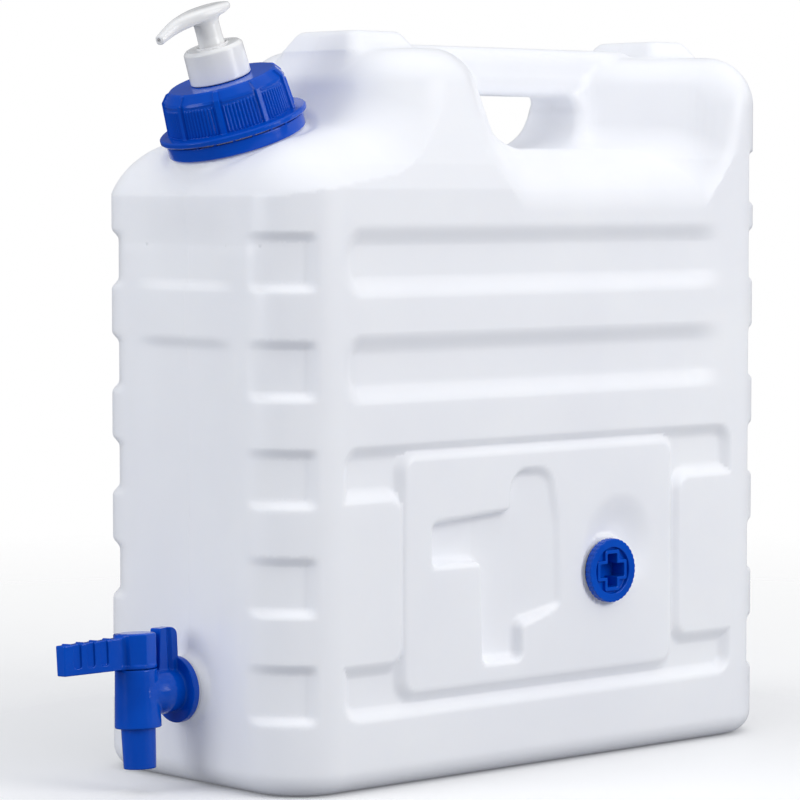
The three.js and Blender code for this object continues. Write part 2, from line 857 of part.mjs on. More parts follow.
function pumpHead() {
  const channelCutters = [0, 1].map((i) => {
    const start = vec(0, ...CHANNEL[i]);
    const end = vec(0, ...CHANNEL[i + 1]);
    const direction = end.clone().sub(start).normalize();
    const rotation = new THREE.Quaternion().setFromUnitVectors(vec(0, 0, 1), direction);
    const frame = new THREE.Matrix4().makeRotationFromQuaternion(rotation).setPosition(start);
    const length = start.distanceTo(end) + (i === 0 ? CHANNEL_OVERLAP : 0);
    return moved(rod(CHANNEL_R, -CHANNEL_OVERLAP, length, 12), frame);
  });
  return carved(loft(SPOON_STATIONS.map(spoonRing)).add(turned(HEAD_SKIRT, 20)), [
    rod(3.6, 55, 66.3, 24), // takes the stem
    rod(1.8, 60, 71.6, 16),
    ...channelCutters,
  ]);
}

// ------------------------------------------------------------ tap
// Local +Z is the outward inlet axis, local +Y is up.
const FLANGE_R = 18.3;
const FLANGE_BACK = 2.7;
const FLANGE_FRONT = 6.7;
const FLANGE_BEVEL = 0.7;
const BARREL_OUT = TAP_FACE_Y - BARREL_Y; // barrel axis, along the inlet axis
// Upright pieces are drawn round the barrel's axis. Their heights are above the
// inlet axis.
const barrelFrame = facingPlusY(0, 0, BARREL_OUT);
const BARREL_TOP = 13.6;
const HUB_BOTTOM = BARREL_TOP + 0.4;
const CORE_R = 8.5;
const CORE_GROOVE_R = 7.2;
const CORE_RING_HEIGHT = 10.4;

// Male thread of the tap and of the plug.
const maleThread = () =>
  ridge({ ...TAP_THREAD, foot: TAP_ROOT_R, tip: TAP_CREST_R, bottom: -10 });

function tapBody() {
  const inlet = [
    [0, -13],
    [TAP_ROOT_R, -13],
    [TAP_ROOT_R, FLANGE_BACK],
    [FLANGE_R - FLANGE_BEVEL, FLANGE_BACK],
    [FLANGE_R, FLANGE_BACK + FLANGE_BEVEL],
    [FLANGE_R, FLANGE_FRONT - FLANGE_BEVEL],
    [FLANGE_R - FLANGE_BEVEL, FLANGE_FRONT],
    [12.6, FLANGE_FRONT],
    [12, 9],
    [11.8, BARREL_OUT - 2],
    [0, BARREL_OUT - 2],
  ];
  const barrelAndSpout = [
    [0, -40.4],
    [8.9, -40.4],
    [9.5, -18.2],
    [12.3, -18.2],
    [12.8, -17.4],
    [11.5, BARREL_TOP],
    [0, BARREL_TOP],
  ];
  // Stop fin above the inlet, on the can's side of the barrel: z, y, corner radius.
  const fin = [
    [BARREL_OUT - 26, 8, 0],
    [BARREL_OUT - 11, 8, 0],
    [BARREL_OUT - 12.6, 13.6, 0],
    [BARREL_OUT - 14.3, 34.4, 1],
    [BARREL_OUT - 26, 35, 3],
  ];
  const finWidth = 9;
  const solid = joined([
    turned(inlet, 20),
    maleThread(),
    moved(turned(barrelAndSpout, 20), barrelFrame),
    prism(outline(fin, 0, 30), finWidth, facingMinusX(finWidth / 2)),
  ]);
  return carved(solid, [
    rod(7, -20, BARREL_OUT, 16), // inlet bore
    moved(rod(9, -15.4, 20, 20), barrelFrame), // bore for the rotary plug
    moved(rod(6.6, -60, 0, 16), barrelFrame), // spout bore
  ]);
}

// Lever, hub and rotary plug, one moulding, drawn in the barrel's frame.
function tapLever() {
  const profile = [
    [0, -14.8],
    [CORE_R, -14.8],
    [CORE_R, -11.6],
    [CORE_GROOVE_R, -11.6],
    [CORE_GROOVE_R, -9.2],
    [CORE_R, -9.2],
    [CORE_R, 9.2],
    [CORE_GROOVE_R, 9.2],
    [CORE_GROOVE_R, 11.6],
    [CORE_R, 11.6],
    [CORE_R, HUB_BOTTOM],
    [11.6, HUB_BOTTOM],
    [11.9, 31.6],
    [10.9, 33],
    [0, 33],
  ];
  const blade = loft([
    ringAt(rect(-3.6, -50, 3.6, -8, 1.2, 90), HUB_BOTTOM),
    ringAt(rect(-3.9, -50.4, 3.9, -8, 1.2, 90), 31),
  ]);
  const bores = [rod(6, -20, 8.2, 16), moved(rod(5.4, 0, 20, 12), facingMinusX())];
  // Three notches in each side of the blade.
  const notches = [0, 1, 2].flatMap((i) =>
    [2.6, -6].map((left) => alongZ(rect(left, -44 + i * 9, left + 3.4, -39 + i * 9), 17.5, 40)),
  );
  return carved(carved(turned(profile, 20), bores).add(blade), notches);
}

// O-ring at a height on the rotary plug. Section: radius, rise.
const coreRing = (height) =>
  turned(
    [
      [7.5, -0.5],
      [7.9, -0.9],
      [8.3, -0.9],
      [8.7, -0.5],
      [8.7, 0.5],
      [8.3, 0.9],
      [7.9, 0.9],
      [7.5, 0.5],
      [7.5, -0.5],
    ].map(([radius, rise]) => [radius, height + rise]),
    16,
  );

// ------------------------------------------------------------ parked plug
const PLUG_R = 18.4;

function crossPrism(half, reach, bottom, top) {
  const upright = alongZ(rect(-half, -reach, half, reach), bottom, top);
  return upright.add(alongZ(rect(-reach, -half, reach, half), bottom, top));
}

// Threaded plug with a hollow cross in its outer face.
function parkingPlug() {
  const profile = [
    [0, -11],
    [10.6, -11],
    [TAP_ROOT_R, -10],
    [TAP_ROOT_R, 1.9],
    [PLUG_R - 0.5, 1.9],
    [PLUG_R, 2.5],
    [PLUG_R, 5.4],
    [PLUG_R - 1, 6.4],
    [13.6, 6.4],
    [13.2, 4],
    [0, 4],
  ];
  return joined([turned(profile, 20), maleThread(), crossPrism(5.8, 11.8, 3.5, 6)]).subtract(
    crossPrism(3.9, 9.6, -4, 20),
  );
}

// ------------------------------------------------------------ materials
const material = ({ color, roughness, metalness = 0 }) =>
  new THREE.MeshStandardMaterial({ color, roughness, metalness });

const milky = material({ color: 0xe9ebf2, roughness: 0.38 });
const blue = material({ color: 0x0a4bc8, roughness: 0.35 });
const white = material({ color: 0xf4f4f6, roughness: 0.25 });
const clear = material({ color: 0xdfe6ea, roughness: 0.3 });
const rubber = material({ color: 0x2a2c30, roughness: 0.8 });
const silicone = material({ color: 0xd9dde2, roughness: 0.6 });
const steel = material({ color: 0xb9bdc2, roughness: 0.3, metalness: 1 });

// ------------------------------------------------------------ assembly
function part(name, shape, finish) {
  const geometry = shape instanceof THREE.BufferGeometry ? shape : toGeometry(shape);
  const mesh = new THREE.Mesh(geometry, finish);
  mesh.name = name;
  return mesh;
}

function group(matrix, ...children) {
  const holder = new THREE.Group();
  holder.applyMatrix4(matrix);
  return holder.add(...children);
}

const neckGroup = group(
  neckFrame,
  part("tamper_ring", tamperRing(), blue),
  part("cap_seal", tube(26.8, 29, NECK_LIP + 0.3, NECK_LIP + 1.8, 24), silicone),
  part("screw_cap", screwCap(), blue),
  part("soap_bottle", soapBottle(), clear),
  part("pump_collar", pumpCollar(), white),
  part("pump_gasket", tube(10.8, 13.2, 49.7, 50.7, 20), silicone),
  part("pump_housing", pumpHousing(), white),
  part("pump_guide", pumpGuide(), white),
  part("pump_spring", pumpSpring(), steel),
  part("piston_seal", pistonSeal(), silicone),
  part("pump_stem", tube(1.9, 3.4, 25, 66, 16), white),
  part("inlet_ball", inletBall(), steel),
  part("dip_tube", tube(1.3, 1.9, -91, -7.4, 14), clear),
  part("pump_head", pumpHead(), white),
);

const leverGroup = group(
  barrelFrame,
  part("tap_lever", tapLever(), blue),
  part("core_o_ring_upper", coreRing(CORE_RING_HEIGHT), rubber),
  part("core_o_ring_lower", coreRing(-CORE_RING_HEIGHT), rubber),
);

const tapGroup = group(
  tapFrame,
  part("tap_gasket", tube(13.9, 17, 0.3, 2.4, 20), rubber),
  group(
    new THREE.Matrix4().makeRotationZ(TAP_ROLL),
    part("tap_body", tapBody(), blue),
    leverGroup,
  ),
);

const plugGroup = group(
  plugFrame,
  part("plug_gasket", tube(13.9, 17, 0.3, 1.6, 20), rubber),
  part("parking_plug", parkingPlug(), blue),
);

const jerryCan = new THREE.Group();
jerryCan.add(part("canister_body", canisterBody(), milky), neckGroup, tapGroup, plugGroup);

export default jerryCan;
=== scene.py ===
"""A milky canister with a grip bar, a blue screw cap with a soap pump, a tap and a parked plug.

The canister stands on z = 0 with its long side along Y. Its neck leans towards the front (-Y),
the tap sits low on the front, and the parked plug is on the +X side.
Shapes are drawn in millimetres and become metres in make(); lights and camera are in metres.
"""
import math

import bmesh
import bpy
import numpy as np
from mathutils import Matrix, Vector


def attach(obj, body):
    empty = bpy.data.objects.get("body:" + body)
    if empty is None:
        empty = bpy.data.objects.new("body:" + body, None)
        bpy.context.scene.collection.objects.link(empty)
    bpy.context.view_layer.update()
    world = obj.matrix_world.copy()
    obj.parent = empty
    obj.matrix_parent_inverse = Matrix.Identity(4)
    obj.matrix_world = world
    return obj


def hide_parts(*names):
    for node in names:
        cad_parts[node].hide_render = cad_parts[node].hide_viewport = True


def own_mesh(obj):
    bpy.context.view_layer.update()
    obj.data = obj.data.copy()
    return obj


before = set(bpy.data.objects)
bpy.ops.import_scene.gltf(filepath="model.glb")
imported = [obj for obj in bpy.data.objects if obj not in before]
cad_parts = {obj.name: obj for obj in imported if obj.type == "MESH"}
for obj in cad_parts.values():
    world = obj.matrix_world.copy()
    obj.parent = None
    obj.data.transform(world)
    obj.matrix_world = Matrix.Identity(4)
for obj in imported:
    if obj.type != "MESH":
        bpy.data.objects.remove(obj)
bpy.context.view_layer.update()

TURN = 2 * math.pi


# ------------------------------------------------------------ frames
def basis(x_axis, y_axis, z_axis, origin):
    matrix = np.eye(4)
    for column, vector in enumerate((x_axis, y_axis, z_axis, origin)):
        matrix[:3, column] = vector
    return matrix


def rot_z(angle):
    matrix = np.eye(4)
    matrix[0, 0] = matrix[1, 1] = math.cos(angle)
    matrix[1, 0], matrix[0, 1] = math.sin(angle), -math.sin(angle)
    return matrix


NECK_TILT = math.radians(19.2)
NECK_S, NECK_C = math.sin(NECK_TILT), math.cos(NECK_TILT)
NECK_Y, NECK_Z = -153.7, 353.2
TAP_Z = 53
TAP_ROLL = math.radians(3.5)
TAP_REACH = 31.8  # from the socket face out to the axis of the barrel
PLUG_X, PLUG_Y, PLUG_Z = 87.4, 46.9, 107.8

WORLD = np.eye(4)
# z runs out of the neck, out of the front face and out of the +X side
NECK = basis((1, 0, 0), (0, NECK_C, NECK_S), (0, -NECK_S, NECK_C), (0, NECK_Y, NECK_Z))
FRONT = basis((1, 0, 0), (0, 0, 1), (0, -1, 0), (0, -193.8, TAP_Z))
SIDE = basis((0, 1, 0), (0, 0, 1), (1, 0, 0), (PLUG_X, PLUG_Y, PLUG_Z))
# barrel of the tap: z up its axis, y back towards the canister
BARREL = FRONT @ rot_z(TAP_ROLL) @ basis((1, 0, 0), (0, 0, -1), (0, 1, 0), (0, 0, TAP_REACH))


# ------------------------------------------------------------ meshes
def make(name, verts, quads, tris=(), frame=WORLD, normals=None, recalc=False):
    """Mesh object from arrays in millimetres."""
    verts = np.asarray(verts, float).reshape(-1, 3)
    verts = (verts @ frame[:3, :3].T + frame[:3, 3]) * 0.001
    quads = np.asarray(quads, np.int64).reshape(-1, 4)
    tris = np.asarray(tris, np.int64).reshape(-1, 3)
    mesh = bpy.data.meshes.new(name)
    mesh.vertices.add(len(verts))
    mesh.vertices.foreach_set("co", verts.astype(np.float32).ravel())
    loops = np.concatenate([quads.ravel(), tris.ravel()]).astype(np.int32)
    mesh.loops.add(len(loops))
    mesh.loops.foreach_set("vertex_index", loops)
    starts = np.concatenate(
        [np.arange(len(quads)) * 4, len(quads) * 4 + np.arange(len(tris)) * 3]
    ).astype(np.int32)
    mesh.polygons.add(len(starts))
    mesh.polygons.foreach_set("loop_start", starts)
    mesh.update(calc_edges=True)
    mesh.validate()
    if recalc:
        bm = bmesh.new()
        bm.from_mesh(mesh)
        bmesh.ops.recalc_face_normals(bm, faces=bm.faces)
        bm.to_mesh(mesh)
        bm.free()
    mesh.polygons.foreach_set("use_smooth", np.ones(len(mesh.polygons), bool))
    if normals is not None:
        normals = normals @ frame[:3, :3].T
        mesh.normals_split_custom_set_from_vertices(normals.astype(np.float32))
    else:
        mesh.set_sharp_from_angle(angle=math.radians(42))
    mesh.update()
    ob = bpy.data.objects.new(name, mesh)
    bpy.context.scene.collection.objects.link(ob)
    return ob


def place(ob, body, replaced, slot):
    """Gives an object its material and the body it rides, and hides the CAD node it replaces."""
    ob.data.materials.append(MATERIALS[slot])
    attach(ob, body)
    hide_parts(replaced)


def soft(points, radius, closed=False):
    """Rounds the corners of a profile. A point may carry its own radius."""
    places = [np.array(p[:2], float) for p in points]
    radii = [p[2] if len(p) > 2 else radius for p in points]
    out = []
    count = len(places)
    for i in range(count):
        here = places[i]
        if not closed and i in (0, count - 1):
            out.append(here)
            continue
        before, after = here - places[i - 1], places[(i + 1) % count] - here
        len_before, len_after = np.linalg.norm(before), np.linalg.norm(after)
        turn = math.acos(float(np.clip(before @ after / (len_before * len_after), -1, 1)))
        if turn < math.radians(8) or radii[i] <= 0:
            out.append(here)
            continue
        trim = min(radii[i] * math.tan(turn / 2), 0.45 * len_before, 0.45 * len_after)
        start, end = here - before / len_before * trim, here + after / len_after * trim
        for t in np.linspace(0, 1, 5):
            out.append((1 - t) ** 2 * start + 2 * t * (1 - t) * here + t * t * end)
    return out


def dense(points, step, closed=False):
    """Splits the sides of a profile into parts no longer than step."""
    out = []
    count = len(points)
    for i in range(count if closed else count - 1):
        start, end = np.array(points[i]), np.array(points[(i + 1) % count])
        parts = max(1, int(math.ceil(np.linalg.norm(end - start) / step)))
        out += [start + (end - start) * j / parts for j in range(parts)]
    if not closed:
        out.append(np.array(points[-1]))
    return out


def lathe(profile, segments, push=None, closed=False):
    """Verts, quads and tris of a profile of (radius, z) turned round Z.

    push(angle, radius, z) is added to the radius of every point.
    """
    profile = np.array(profile, float)
    count = len(profile)
    angles = np.arange(segments) * TURN / segments
    radius = np.repeat(profile[:, 0][:, None], segments, 1)
    if push is not None:
        z = np.repeat(profile[:, 1][:, None], segments, 1)
        radius = radius + push(np.repeat(angles[None, :], count, 0), radius, z)
    on_axis = (profile[:, 0] < 1e-6) & (not closed)
    verts, ids = [], np.zeros((count, segments), np.int64)
    total = 0
    for i in range(count):
        z = profile[i, 1]
        if on_axis[i]:
            verts.append(np.array([[0, 0, z]]))
            ids[i] = total
            total += 1
        else:
            x, y = radius[i] * np.cos(angles), radius[i] * np.sin(angles)
            verts.append(np.stack([x, y, np.full(segments, z)], 1))
            ids[i] = total + np.arange(segments)
            total += segments
    quads, tris = [np.zeros((0, 4), int)], [np.zeros((0, 3), int)]
    for i in range(count if closed else count - 1):
        j = (i + 1) % count
        low, high = ids[i], ids[j]
        low_next, high_next = np.roll(low, -1), np.roll(high, -1)
        if on_axis[i]:
            tris.append(np.stack([low, high_next, high], 1))
        elif on_axis[j]:
            tris.append(np.stack([low, low_next, high], 1))
        else:
            quads.append(np.stack([low, low_next, high_next, high], 1))
    return np.concatenate(verts), np.concatenate(quads), np.concatenate(tris)


def turned(name, body, replaced, slot, frame, profile, segments, corner, step,
           push=None, closed=True):
    """Lathed piece. Profile rows are (radius, z) or (radius, z, corner radius)."""
    points = dense(soft(profile, corner, closed), step, closed)
    ob = make(name, *lathe(points, segments, push, closed), frame, recalc=True)
    place(ob, body, replaced, slot)


def helix(angle, z, start, pitch, turns, height, base, crest):
    """Height of a right-hand ridge at an angle and z. Base and crest are its widths."""
    best = np.zeros_like(angle)
    for k in range(int(math.ceil(turns)) + 1):
        turn = angle / TURN + k
        fade = np.clip(np.minimum(turn, turns - turn) * 9 + 0.05, 0, 1)
        off = np.abs(z - (start + pitch * turn))
        rise = np.clip((base / 2 - off) / max((base - crest) / 2, 1e-6), 0, 1)
        rise = rise * rise * (3 - 2 * rise)
        best = np.maximum(best, np.where(turn <= turns, height * fade * rise, 0))
    return best


def thread(wall, sign, **ridge):
    """Push that raises a ridge outwards (+1) or inwards (-1) on the wall of that radius."""
    def push(angle, radius, z):
        return np.where(np.abs(radius - wall) < 0.05, sign * helix(angle, z, **ridge), 0)

    return push


# ------------------------------------------------------------ distance fields
# A field is a signed distance, negative inside the solid.
def meet(a, b, radius=None):
    """Intersection, with its edge rounded when a radius is given."""
    if radius is None:
        return np.maximum(a, b)
    over_a, over_b = np.maximum(a + radius, 0), np.maximum(b + radius, 0)
    return np.minimum(np.maximum(a, b), -radius) + np.sqrt(over_a * over_a + over_b * over_b)


def join(a, b, radius=None):
    return -meet(-a, -b, radius)


def cut(a, tool, radius=None):
    return meet(a, -tool, radius)


def between(value, low, high):
    return np.maximum(low - value, value - high)


def band(value, centre, half):
    return np.abs(value - centre) - half


def ramp(value, width):
    """Smooth step from 0 to 1, centred on 0."""
    t = np.clip(value / width + 0.5, 0, 1)
    return t * t * (3 - 2 * t)


def round_rect(x, y, half_x, half_y, radius):
    over_x, over_y = np.abs(x) - half_x + radius, np.abs(y) - half_y + radius
    outside = np.hypot(np.maximum(over_x, 0), np.maximum(over_y, 0))
    return outside + np.minimum(np.maximum(over_x, over_y), 0) - radius


def outline(points, step):
    """Closed polygon with arcs at its corners, from (u, v, radius) rows; step in degrees."""
    out = []
    count = len(points)
    for i in range(count):
        here = np.array(points[i][:2], float)
        last = np.array(points[i - 1][:2], float)
        following = np.array(points[(i + 1) % count][:2], float)
        radius = points[i][2]
        if radius <= 0:
            out.append(here)
            continue
        before = (here - last) / np.linalg.norm(here - last)
        after = (following - here) / np.linalg.norm(following - here)
        cross = before[0] * after[1] - before[1] * after[0]
        turn = math.atan2(cross, float(before @ after))
        start = here - before * (radius * math.tan(abs(turn) / 2))
        centre = start + np.array([-before[1], before[0]]) * radius * math.copysign(1, turn)
        first = math.atan2(start[1] - centre[1], start[0] - centre[0])
        parts = max(2, round(abs(math.degrees(turn)) / step))
        for j in range(parts + 1):
            angle = first + turn * j / parts
            out.append(centre + radius * np.array([math.cos(angle), math.sin(angle)]))
    return np.array(out)


def polygon(u, v, points):
    """Signed distance to a closed polygon."""
    nearest = np.full(u.shape, 1e12)
    inside = np.zeros(u.shape, bool)
    for start, end in zip(points, np.roll(points, -1, 0)):
        edge = end - start
        du, dv = u - start[0], v - start[1]
        t = np.clip((du * edge[0] + dv * edge[1]) / max(edge @ edge, 1e-12), 0, 1)
        nearest = np.minimum(nearest, (du - edge[0] * t) ** 2 + (dv - edge[1] * t) ** 2)
        if start[1] != end[1]:
            spans = (start[1] <= v) != (end[1] <= v)
            inside ^= spans & (u < start[0] + dv * edge[0] / edge[1])
    return np.where(inside, -1.0, 1.0) * np.sqrt(nearest)


# ------------------------------------------------------------ meshing of fields
BLOCK = 4  # cells along a side of the coarse blocks
SLACK = 1.8  # how far a field may overstate distance before a block is missed
ROUNDS = 3  # smoothing passes
CHUNK = 400_000
CUBE = list(np.ndindex(2, 2, 2))
# the four cells round a grid edge along each axis
AROUND_EDGE = [
    [(0, -1, -1), (0, 0, -1), (0, 0, 0), (0, -1, 0)],
    [(-1, 0, -1), (-1, 0, 0), (0, 0, 0), (0, 0, -1)],
    [(-1, -1, 0), (0, -1, 0), (0, 0, 0), (-1, 0, 0)],
]


def evaluate(field, points):
    parts = [field(points[i : i + CHUNK]) for i in range(0, len(points), CHUNK)]
    return np.concatenate(parts)


def gradient(field, points, reach):
    slope = np.zeros_like(points)
    for way in np.array([[1, -1, -1], [-1, -1, 1], [-1, 1, -1], [1, 1, 1]], float):
        slope += way * evaluate(field, points + way * reach)[:, None]
    return slope / (4 * reach)


def corner_view(grid, corner, size):
    return grid[tuple(slice(c, c + n) for c, n in zip(corner, size))]


def sample(field, low, high, cell):
    """Field on a grid: fine near the surface, one value per block elsewhere."""
    blocks = np.ceil((high - low) / (cell * BLOCK)).astype(int)
    size = blocks * BLOCK
    centres = low + (np.indices(blocks).reshape(3, -1).T + 0.5) * BLOCK * cell
    coarse = evaluate(field, centres).reshape(blocks)
    active = np.abs(coarse) < SLACK * BLOCK * cell * math.sqrt(3) / 2 + cell
    for axis in range(3):
        coarse = np.repeat(coarse, BLOCK, axis)
        active = np.repeat(active, BLOCK, axis)
    values = np.pad(coarse, [(0, 1)] * 3, mode="edge").astype(float)
    fine = np.zeros(size + 1, bool)
    for corner in CUBE:
        view = corner_view(fine, corner, size)
        view |= active
    values[fine] = evaluate(field, low + np.argwhere(fine) * cell)
    return values, size


def surface_net(values, size):
    """One point (in cells) per cell that the surface crosses, and quads between them."""
    inner = values < 0
    count = np.zeros(size, np.int8)
    for corner in CUBE:
        count += corner_view(inner, corner, size)
    live = (count > 0) & (count < 8)
    cells = np.argwhere(live)
    ids = np.full(size, -1, np.int64)
    ids[live] = np.arange(len(cells))
    total, weight = np.zeros((len(cells), 3)), np.zeros(len(cells))
    for start in map(np.array, CUBE):
        for axis in range(3):
            if start[axis]:
                continue
            end = start.copy()
            end[axis] = 1
            at_start = values[tuple((cells + start).T)]
            at_end = values[tuple((cells + end).T)]
            cross = (at_start < 0) != (at_end < 0)
            t = np.where(cross, at_start / np.where(cross, at_start - at_end, 1), 0)
            hit = cells + start + t[:, None] * (end - start)
            total += np.where(cross[:, None], hit, 0)
            weight += cross
    quads = []
    for axis in range(3):
        near = [slice(1, n) for n in size]
        far = list(near)
        near[axis], far[axis] = slice(0, size[axis]), slice(1, size[axis] + 1)
        low, high = inner[tuple(near)], inner[tuple(far)]
        base = np.array([0 if k == axis else 1 for k in range(3)])
        for flip, hits in ((False, low & ~high), (True, high & ~low)):
            at = np.argwhere(hits) + base
            if not len(at):
                continue
            around = [ids[tuple((at + np.array(o)).T)] for o in AROUND_EDGE[axis]]
            quad = np.stack(around, 1)
            quads.append(quad[:, ::-1] if flip else quad)
    return total / weight[:, None], np.concatenate(quads)


def neighbour_mean(points, quads):
    start = np.concatenate([quads[:, i] for i in range(4)])
    end = np.concatenate([quads[:, (i + 1) % 4] for i in range(4)])
    total = len(points)
    count = np.bincount(start, minlength=total) + np.bincount(end, minlength=total)
    sums = [
        np.bincount(start, points[end, k], total) + np.bincount(end, points[start, k], total)
        for k in range(3)
    ]
    return np.stack(sums, 1) / np.maximum(count, 1)[:, None]


def iso_mesh(field, low, high, cell):
    """Quad mesh of field = 0 with its points on the surface, and their normals."""
    low = np.array(low, float)
    points, quads = surface_net(*sample(field, low, np.array(high, float), cell))
    points = low + points * cell
    reach = cell * 0.15
    for i in range(ROUNDS + 1):
        slope = gradient(field, points, reach)
        steep = np.maximum((slope * slope).sum(1), 1e-3)
        move = (evaluate(field, points) / steep)[:, None] * slope
        length = np.linalg.norm(move, axis=1)
        move *= np.minimum(1, 0.8 * cell / np.maximum(length, 1e-9))[:, None]
        points = points - move
        if i < ROUNDS:
            # even out the points within the surface
            shift = neighbour_mean(points, quads) - points
            normal = slope / np.sqrt(steep)[:, None]
            shift -= (shift * normal).sum(1)[:, None] * normal
            points = points + 0.45 * shift
    slope = gradient(field, points, reach)
    return points, quads, slope / np.maximum(np.linalg.norm(slope, axis=1), 1e-9)[:, None]


def moulding(name, body, replaced, slot, frame, field, low, high, cell):
    """Piece meshed from a field between two corners of a box."""
    verts, quads, normals = iso_mesh(field, low, high, cell)
    place(make(name, verts, quads, (), frame, normals), body, replaced, slot)


# ------------------------------------------------------------ materials
def feed(tree, node, inputs):
    """Links or sets the inputs of a node."""
    for key, value in inputs.items():
        if isinstance(value, bpy.types.NodeSocket):
            tree.links.new(value, node.inputs[key])
        else:
            node.inputs[key].default_value = value


def add(tree, kind, inputs=None, **settings):
    node = tree.nodes.new("ShaderNode" + kind)
    for key, value in settings.items():
        setattr(node, key, value)
    feed(tree, node, inputs or {})
    return node


def new_material(name):
    material = bpy.data.materials.new(name)
    material.use_nodes = True
    tree = material.node_tree
    tree.nodes.clear()
    output = add(tree, "OutputMaterial")
    shader = add(tree, "BsdfPrincipled")
    feed(tree, output, {"Surface": shader.outputs["BSDF"]})
    return material, tree, shader, output, add(tree, "TexCoord").outputs["Object"]


def noise(tree, coords, scale, detail=3, roughness=0.5, distortion=0.0):
    return add(tree, "TexNoise", {
        "Scale": scale, "Detail": detail, "Roughness": roughness, "Distortion": distortion,
        "Vector": coords,
    }).outputs["Fac"]


def spread(tree, value, low, high, from_low=0.3, from_high=0.7):
    """Maps from_low..from_high to low..high."""
    return add(tree, "MapRange", {
        "From Min": from_low, "From Max": from_high, "To Min": low, "To Max": high,
        "Value": value,
    }).outputs["Result"]


def mix(tree, factor, first, second):
    inputs = {"Factor": factor, "A": (*first, 1), "B": (*second, 1)}
    return add(tree, "Mix", inputs, data_type="RGBA").outputs["Result"]


def bump(tree, height, distance, strength=1.0, under=None):
    """Bump normal, laid over another one when it is given."""
    inputs = {"Strength": strength, "Distance": distance, "Height": height}
    if under is not None:
        inputs["Normal"] = under
    return add(tree, "Bump", inputs).outputs["Normal"]


def moulded(name, colours, rough, peel, grain, specular=0.5, coat=0.0, scatter=None):
    """Moulded plastic: slow colour drift, orange peel and fine grain.

    rough is a range; peel and grain are heights in metres;
    scatter is the weight, radius and scale of the subsurface light.
    """
    material, tree, shader, _, coords = new_material(name)
    drift = noise(tree, coords, scale=22, detail=4, roughness=0.55, distortion=0.3)
    feed(tree, shader, {
        "Base Color": mix(tree, spread(tree, drift, 0, 1, 0.35, 0.65), *colours),
        "Roughness": spread(tree, noise(tree, coords, scale=90, detail=4, roughness=0.6), *rough),
        "Specular IOR Level": specular,
    })
    peeled = bump(tree, noise(tree, coords, scale=140, detail=2), peel)
    fine = noise(tree, coords, scale=2600, detail=3, roughness=0.6)
    feed(tree, shader, {"Normal": bump(tree, fine, grain, under=peeled)})
    if scatter:
        keys = ("Subsurface Weight", "Subsurface Radius", "Subsurface Scale")
        feed(tree, shader, dict(zip(keys, scatter)))
    if coat:
        feed(tree, shader, {"Coat Weight": coat, "Coat Roughness": 0.12})
    return material


def milky_hdpe():
    """Cloudy wall with a waxy skin and a faint mould seam."""
    material, tree, shader, _, coords = new_material("milky_hdpe")
    cloud = noise(tree, coords, scale=7, detail=5, roughness=0.55, distortion=0.6)
    cloud = spread(tree, cloud, 0, 1, 0.32, 0.68)
    colour = mix(tree, cloud, (0.84, 0.85, 0.89), (0.89, 0.90, 0.93))
    waxy = noise(tree, coords, scale=45, detail=4, roughness=0.6)
    feed(tree, shader, {
        "Base Color": colour,
        "Roughness": spread(tree, waxy, 0.30, 0.44),
        "Subsurface Weight": 0.35,
        "Subsurface Radius": (0.9, 0.95, 1.0),
        "Subsurface Scale": 0.007,
        "Specular IOR Level": 0.45,
        "IOR": 1.5,
        # stands in for light that has come through the walls
        "Emission Color": (0.93, 0.95, 1.0, 1),
        "Emission Strength": 0.10,
    })
    wave = bump(tree, noise(tree, coords, scale=16, detail=2), distance=0.0006, strength=0.5)
    fine = noise(tree, coords, scale=240, detail=3, roughness=0.55)
    peel = bump(tree, fine, distance=0.00004, strength=0.6, under=wave)
    # mould seam along the plane x = 0
    x = add(tree, "SeparateXYZ", {0: coords}).outputs[0]
    away = add(tree, "Math", {0: x}, operation="ABSOLUTE").outputs[0]
    line = spread(tree, away, 1, 0, 0.0002, 0.0007)
    seam = bump(tree, line, distance=0.00025, strength=0.5, under=peel)
    feed(tree, shader, {"Normal": seam})
    return material


def steel():
    material, tree, shader, _, coords = new_material("steel")
    cloud = spread(tree, noise(tree, coords, scale=300), 0, 1)
    feed(tree, shader, {
        "Base Color": mix(tree, cloud, (0.52, 0.53, 0.55), (0.62, 0.63, 0.64)),
        "Metallic": 1,
        "Roughness": spread(tree, noise(tree, coords, scale=900), 0.18, 0.32),
        "Normal": bump(tree, noise(tree, coords, scale=4000, detail=2), distance=0.000008),
    })
    return material


PLASTICS = {
    "blue_plastic": dict(
        colours=((0.0, 0.068, 0.50), (0.0, 0.084, 0.58)), rough=(0.13, 0.20),
        peel=0.00003, grain=0.000008, specular=0.26,
    ),
    "white_plastic": dict(
        colours=((0.92, 0.92, 0.92), (0.96, 0.96, 0.955)), rough=(0.16, 0.24),
        peel=0.00002, grain=0.000006, coat=0.2, scatter=(0.25, (1, 0.95, 0.9), 0.002),
    ),
    "clear_plastic": dict(
        colours=((0.74, 0.78, 0.80), (0.80, 0.84, 0.86)), rough=(0.18, 0.26),
        peel=0.00003, grain=0.000006, scatter=(0.5, (1, 1, 1), 0.004),
    ),
    "silicone": dict(
        colours=((0.66, 0.68, 0.72), (0.72, 0.74, 0.78)), rough=(0.48, 0.58),
        peel=0.00002, grain=0.00002, scatter=(0.2, (1, 1, 1), 0.001),
    ),
    "black_rubber": dict(
        colours=((0.018, 0.019, 0.021), (0.030, 0.031, 0.033)), rough=(0.62, 0.78),
        peel=0.00003, grain=0.00004, specular=0.35,
    ),
}
MATERIALS = {"milky_hdpe": milky_hdpe()}
for plastic, look in PLASTICS.items():
    MATERIALS[plastic] = moulded(plastic, **look)
MATERIALS["steel"] = steel()

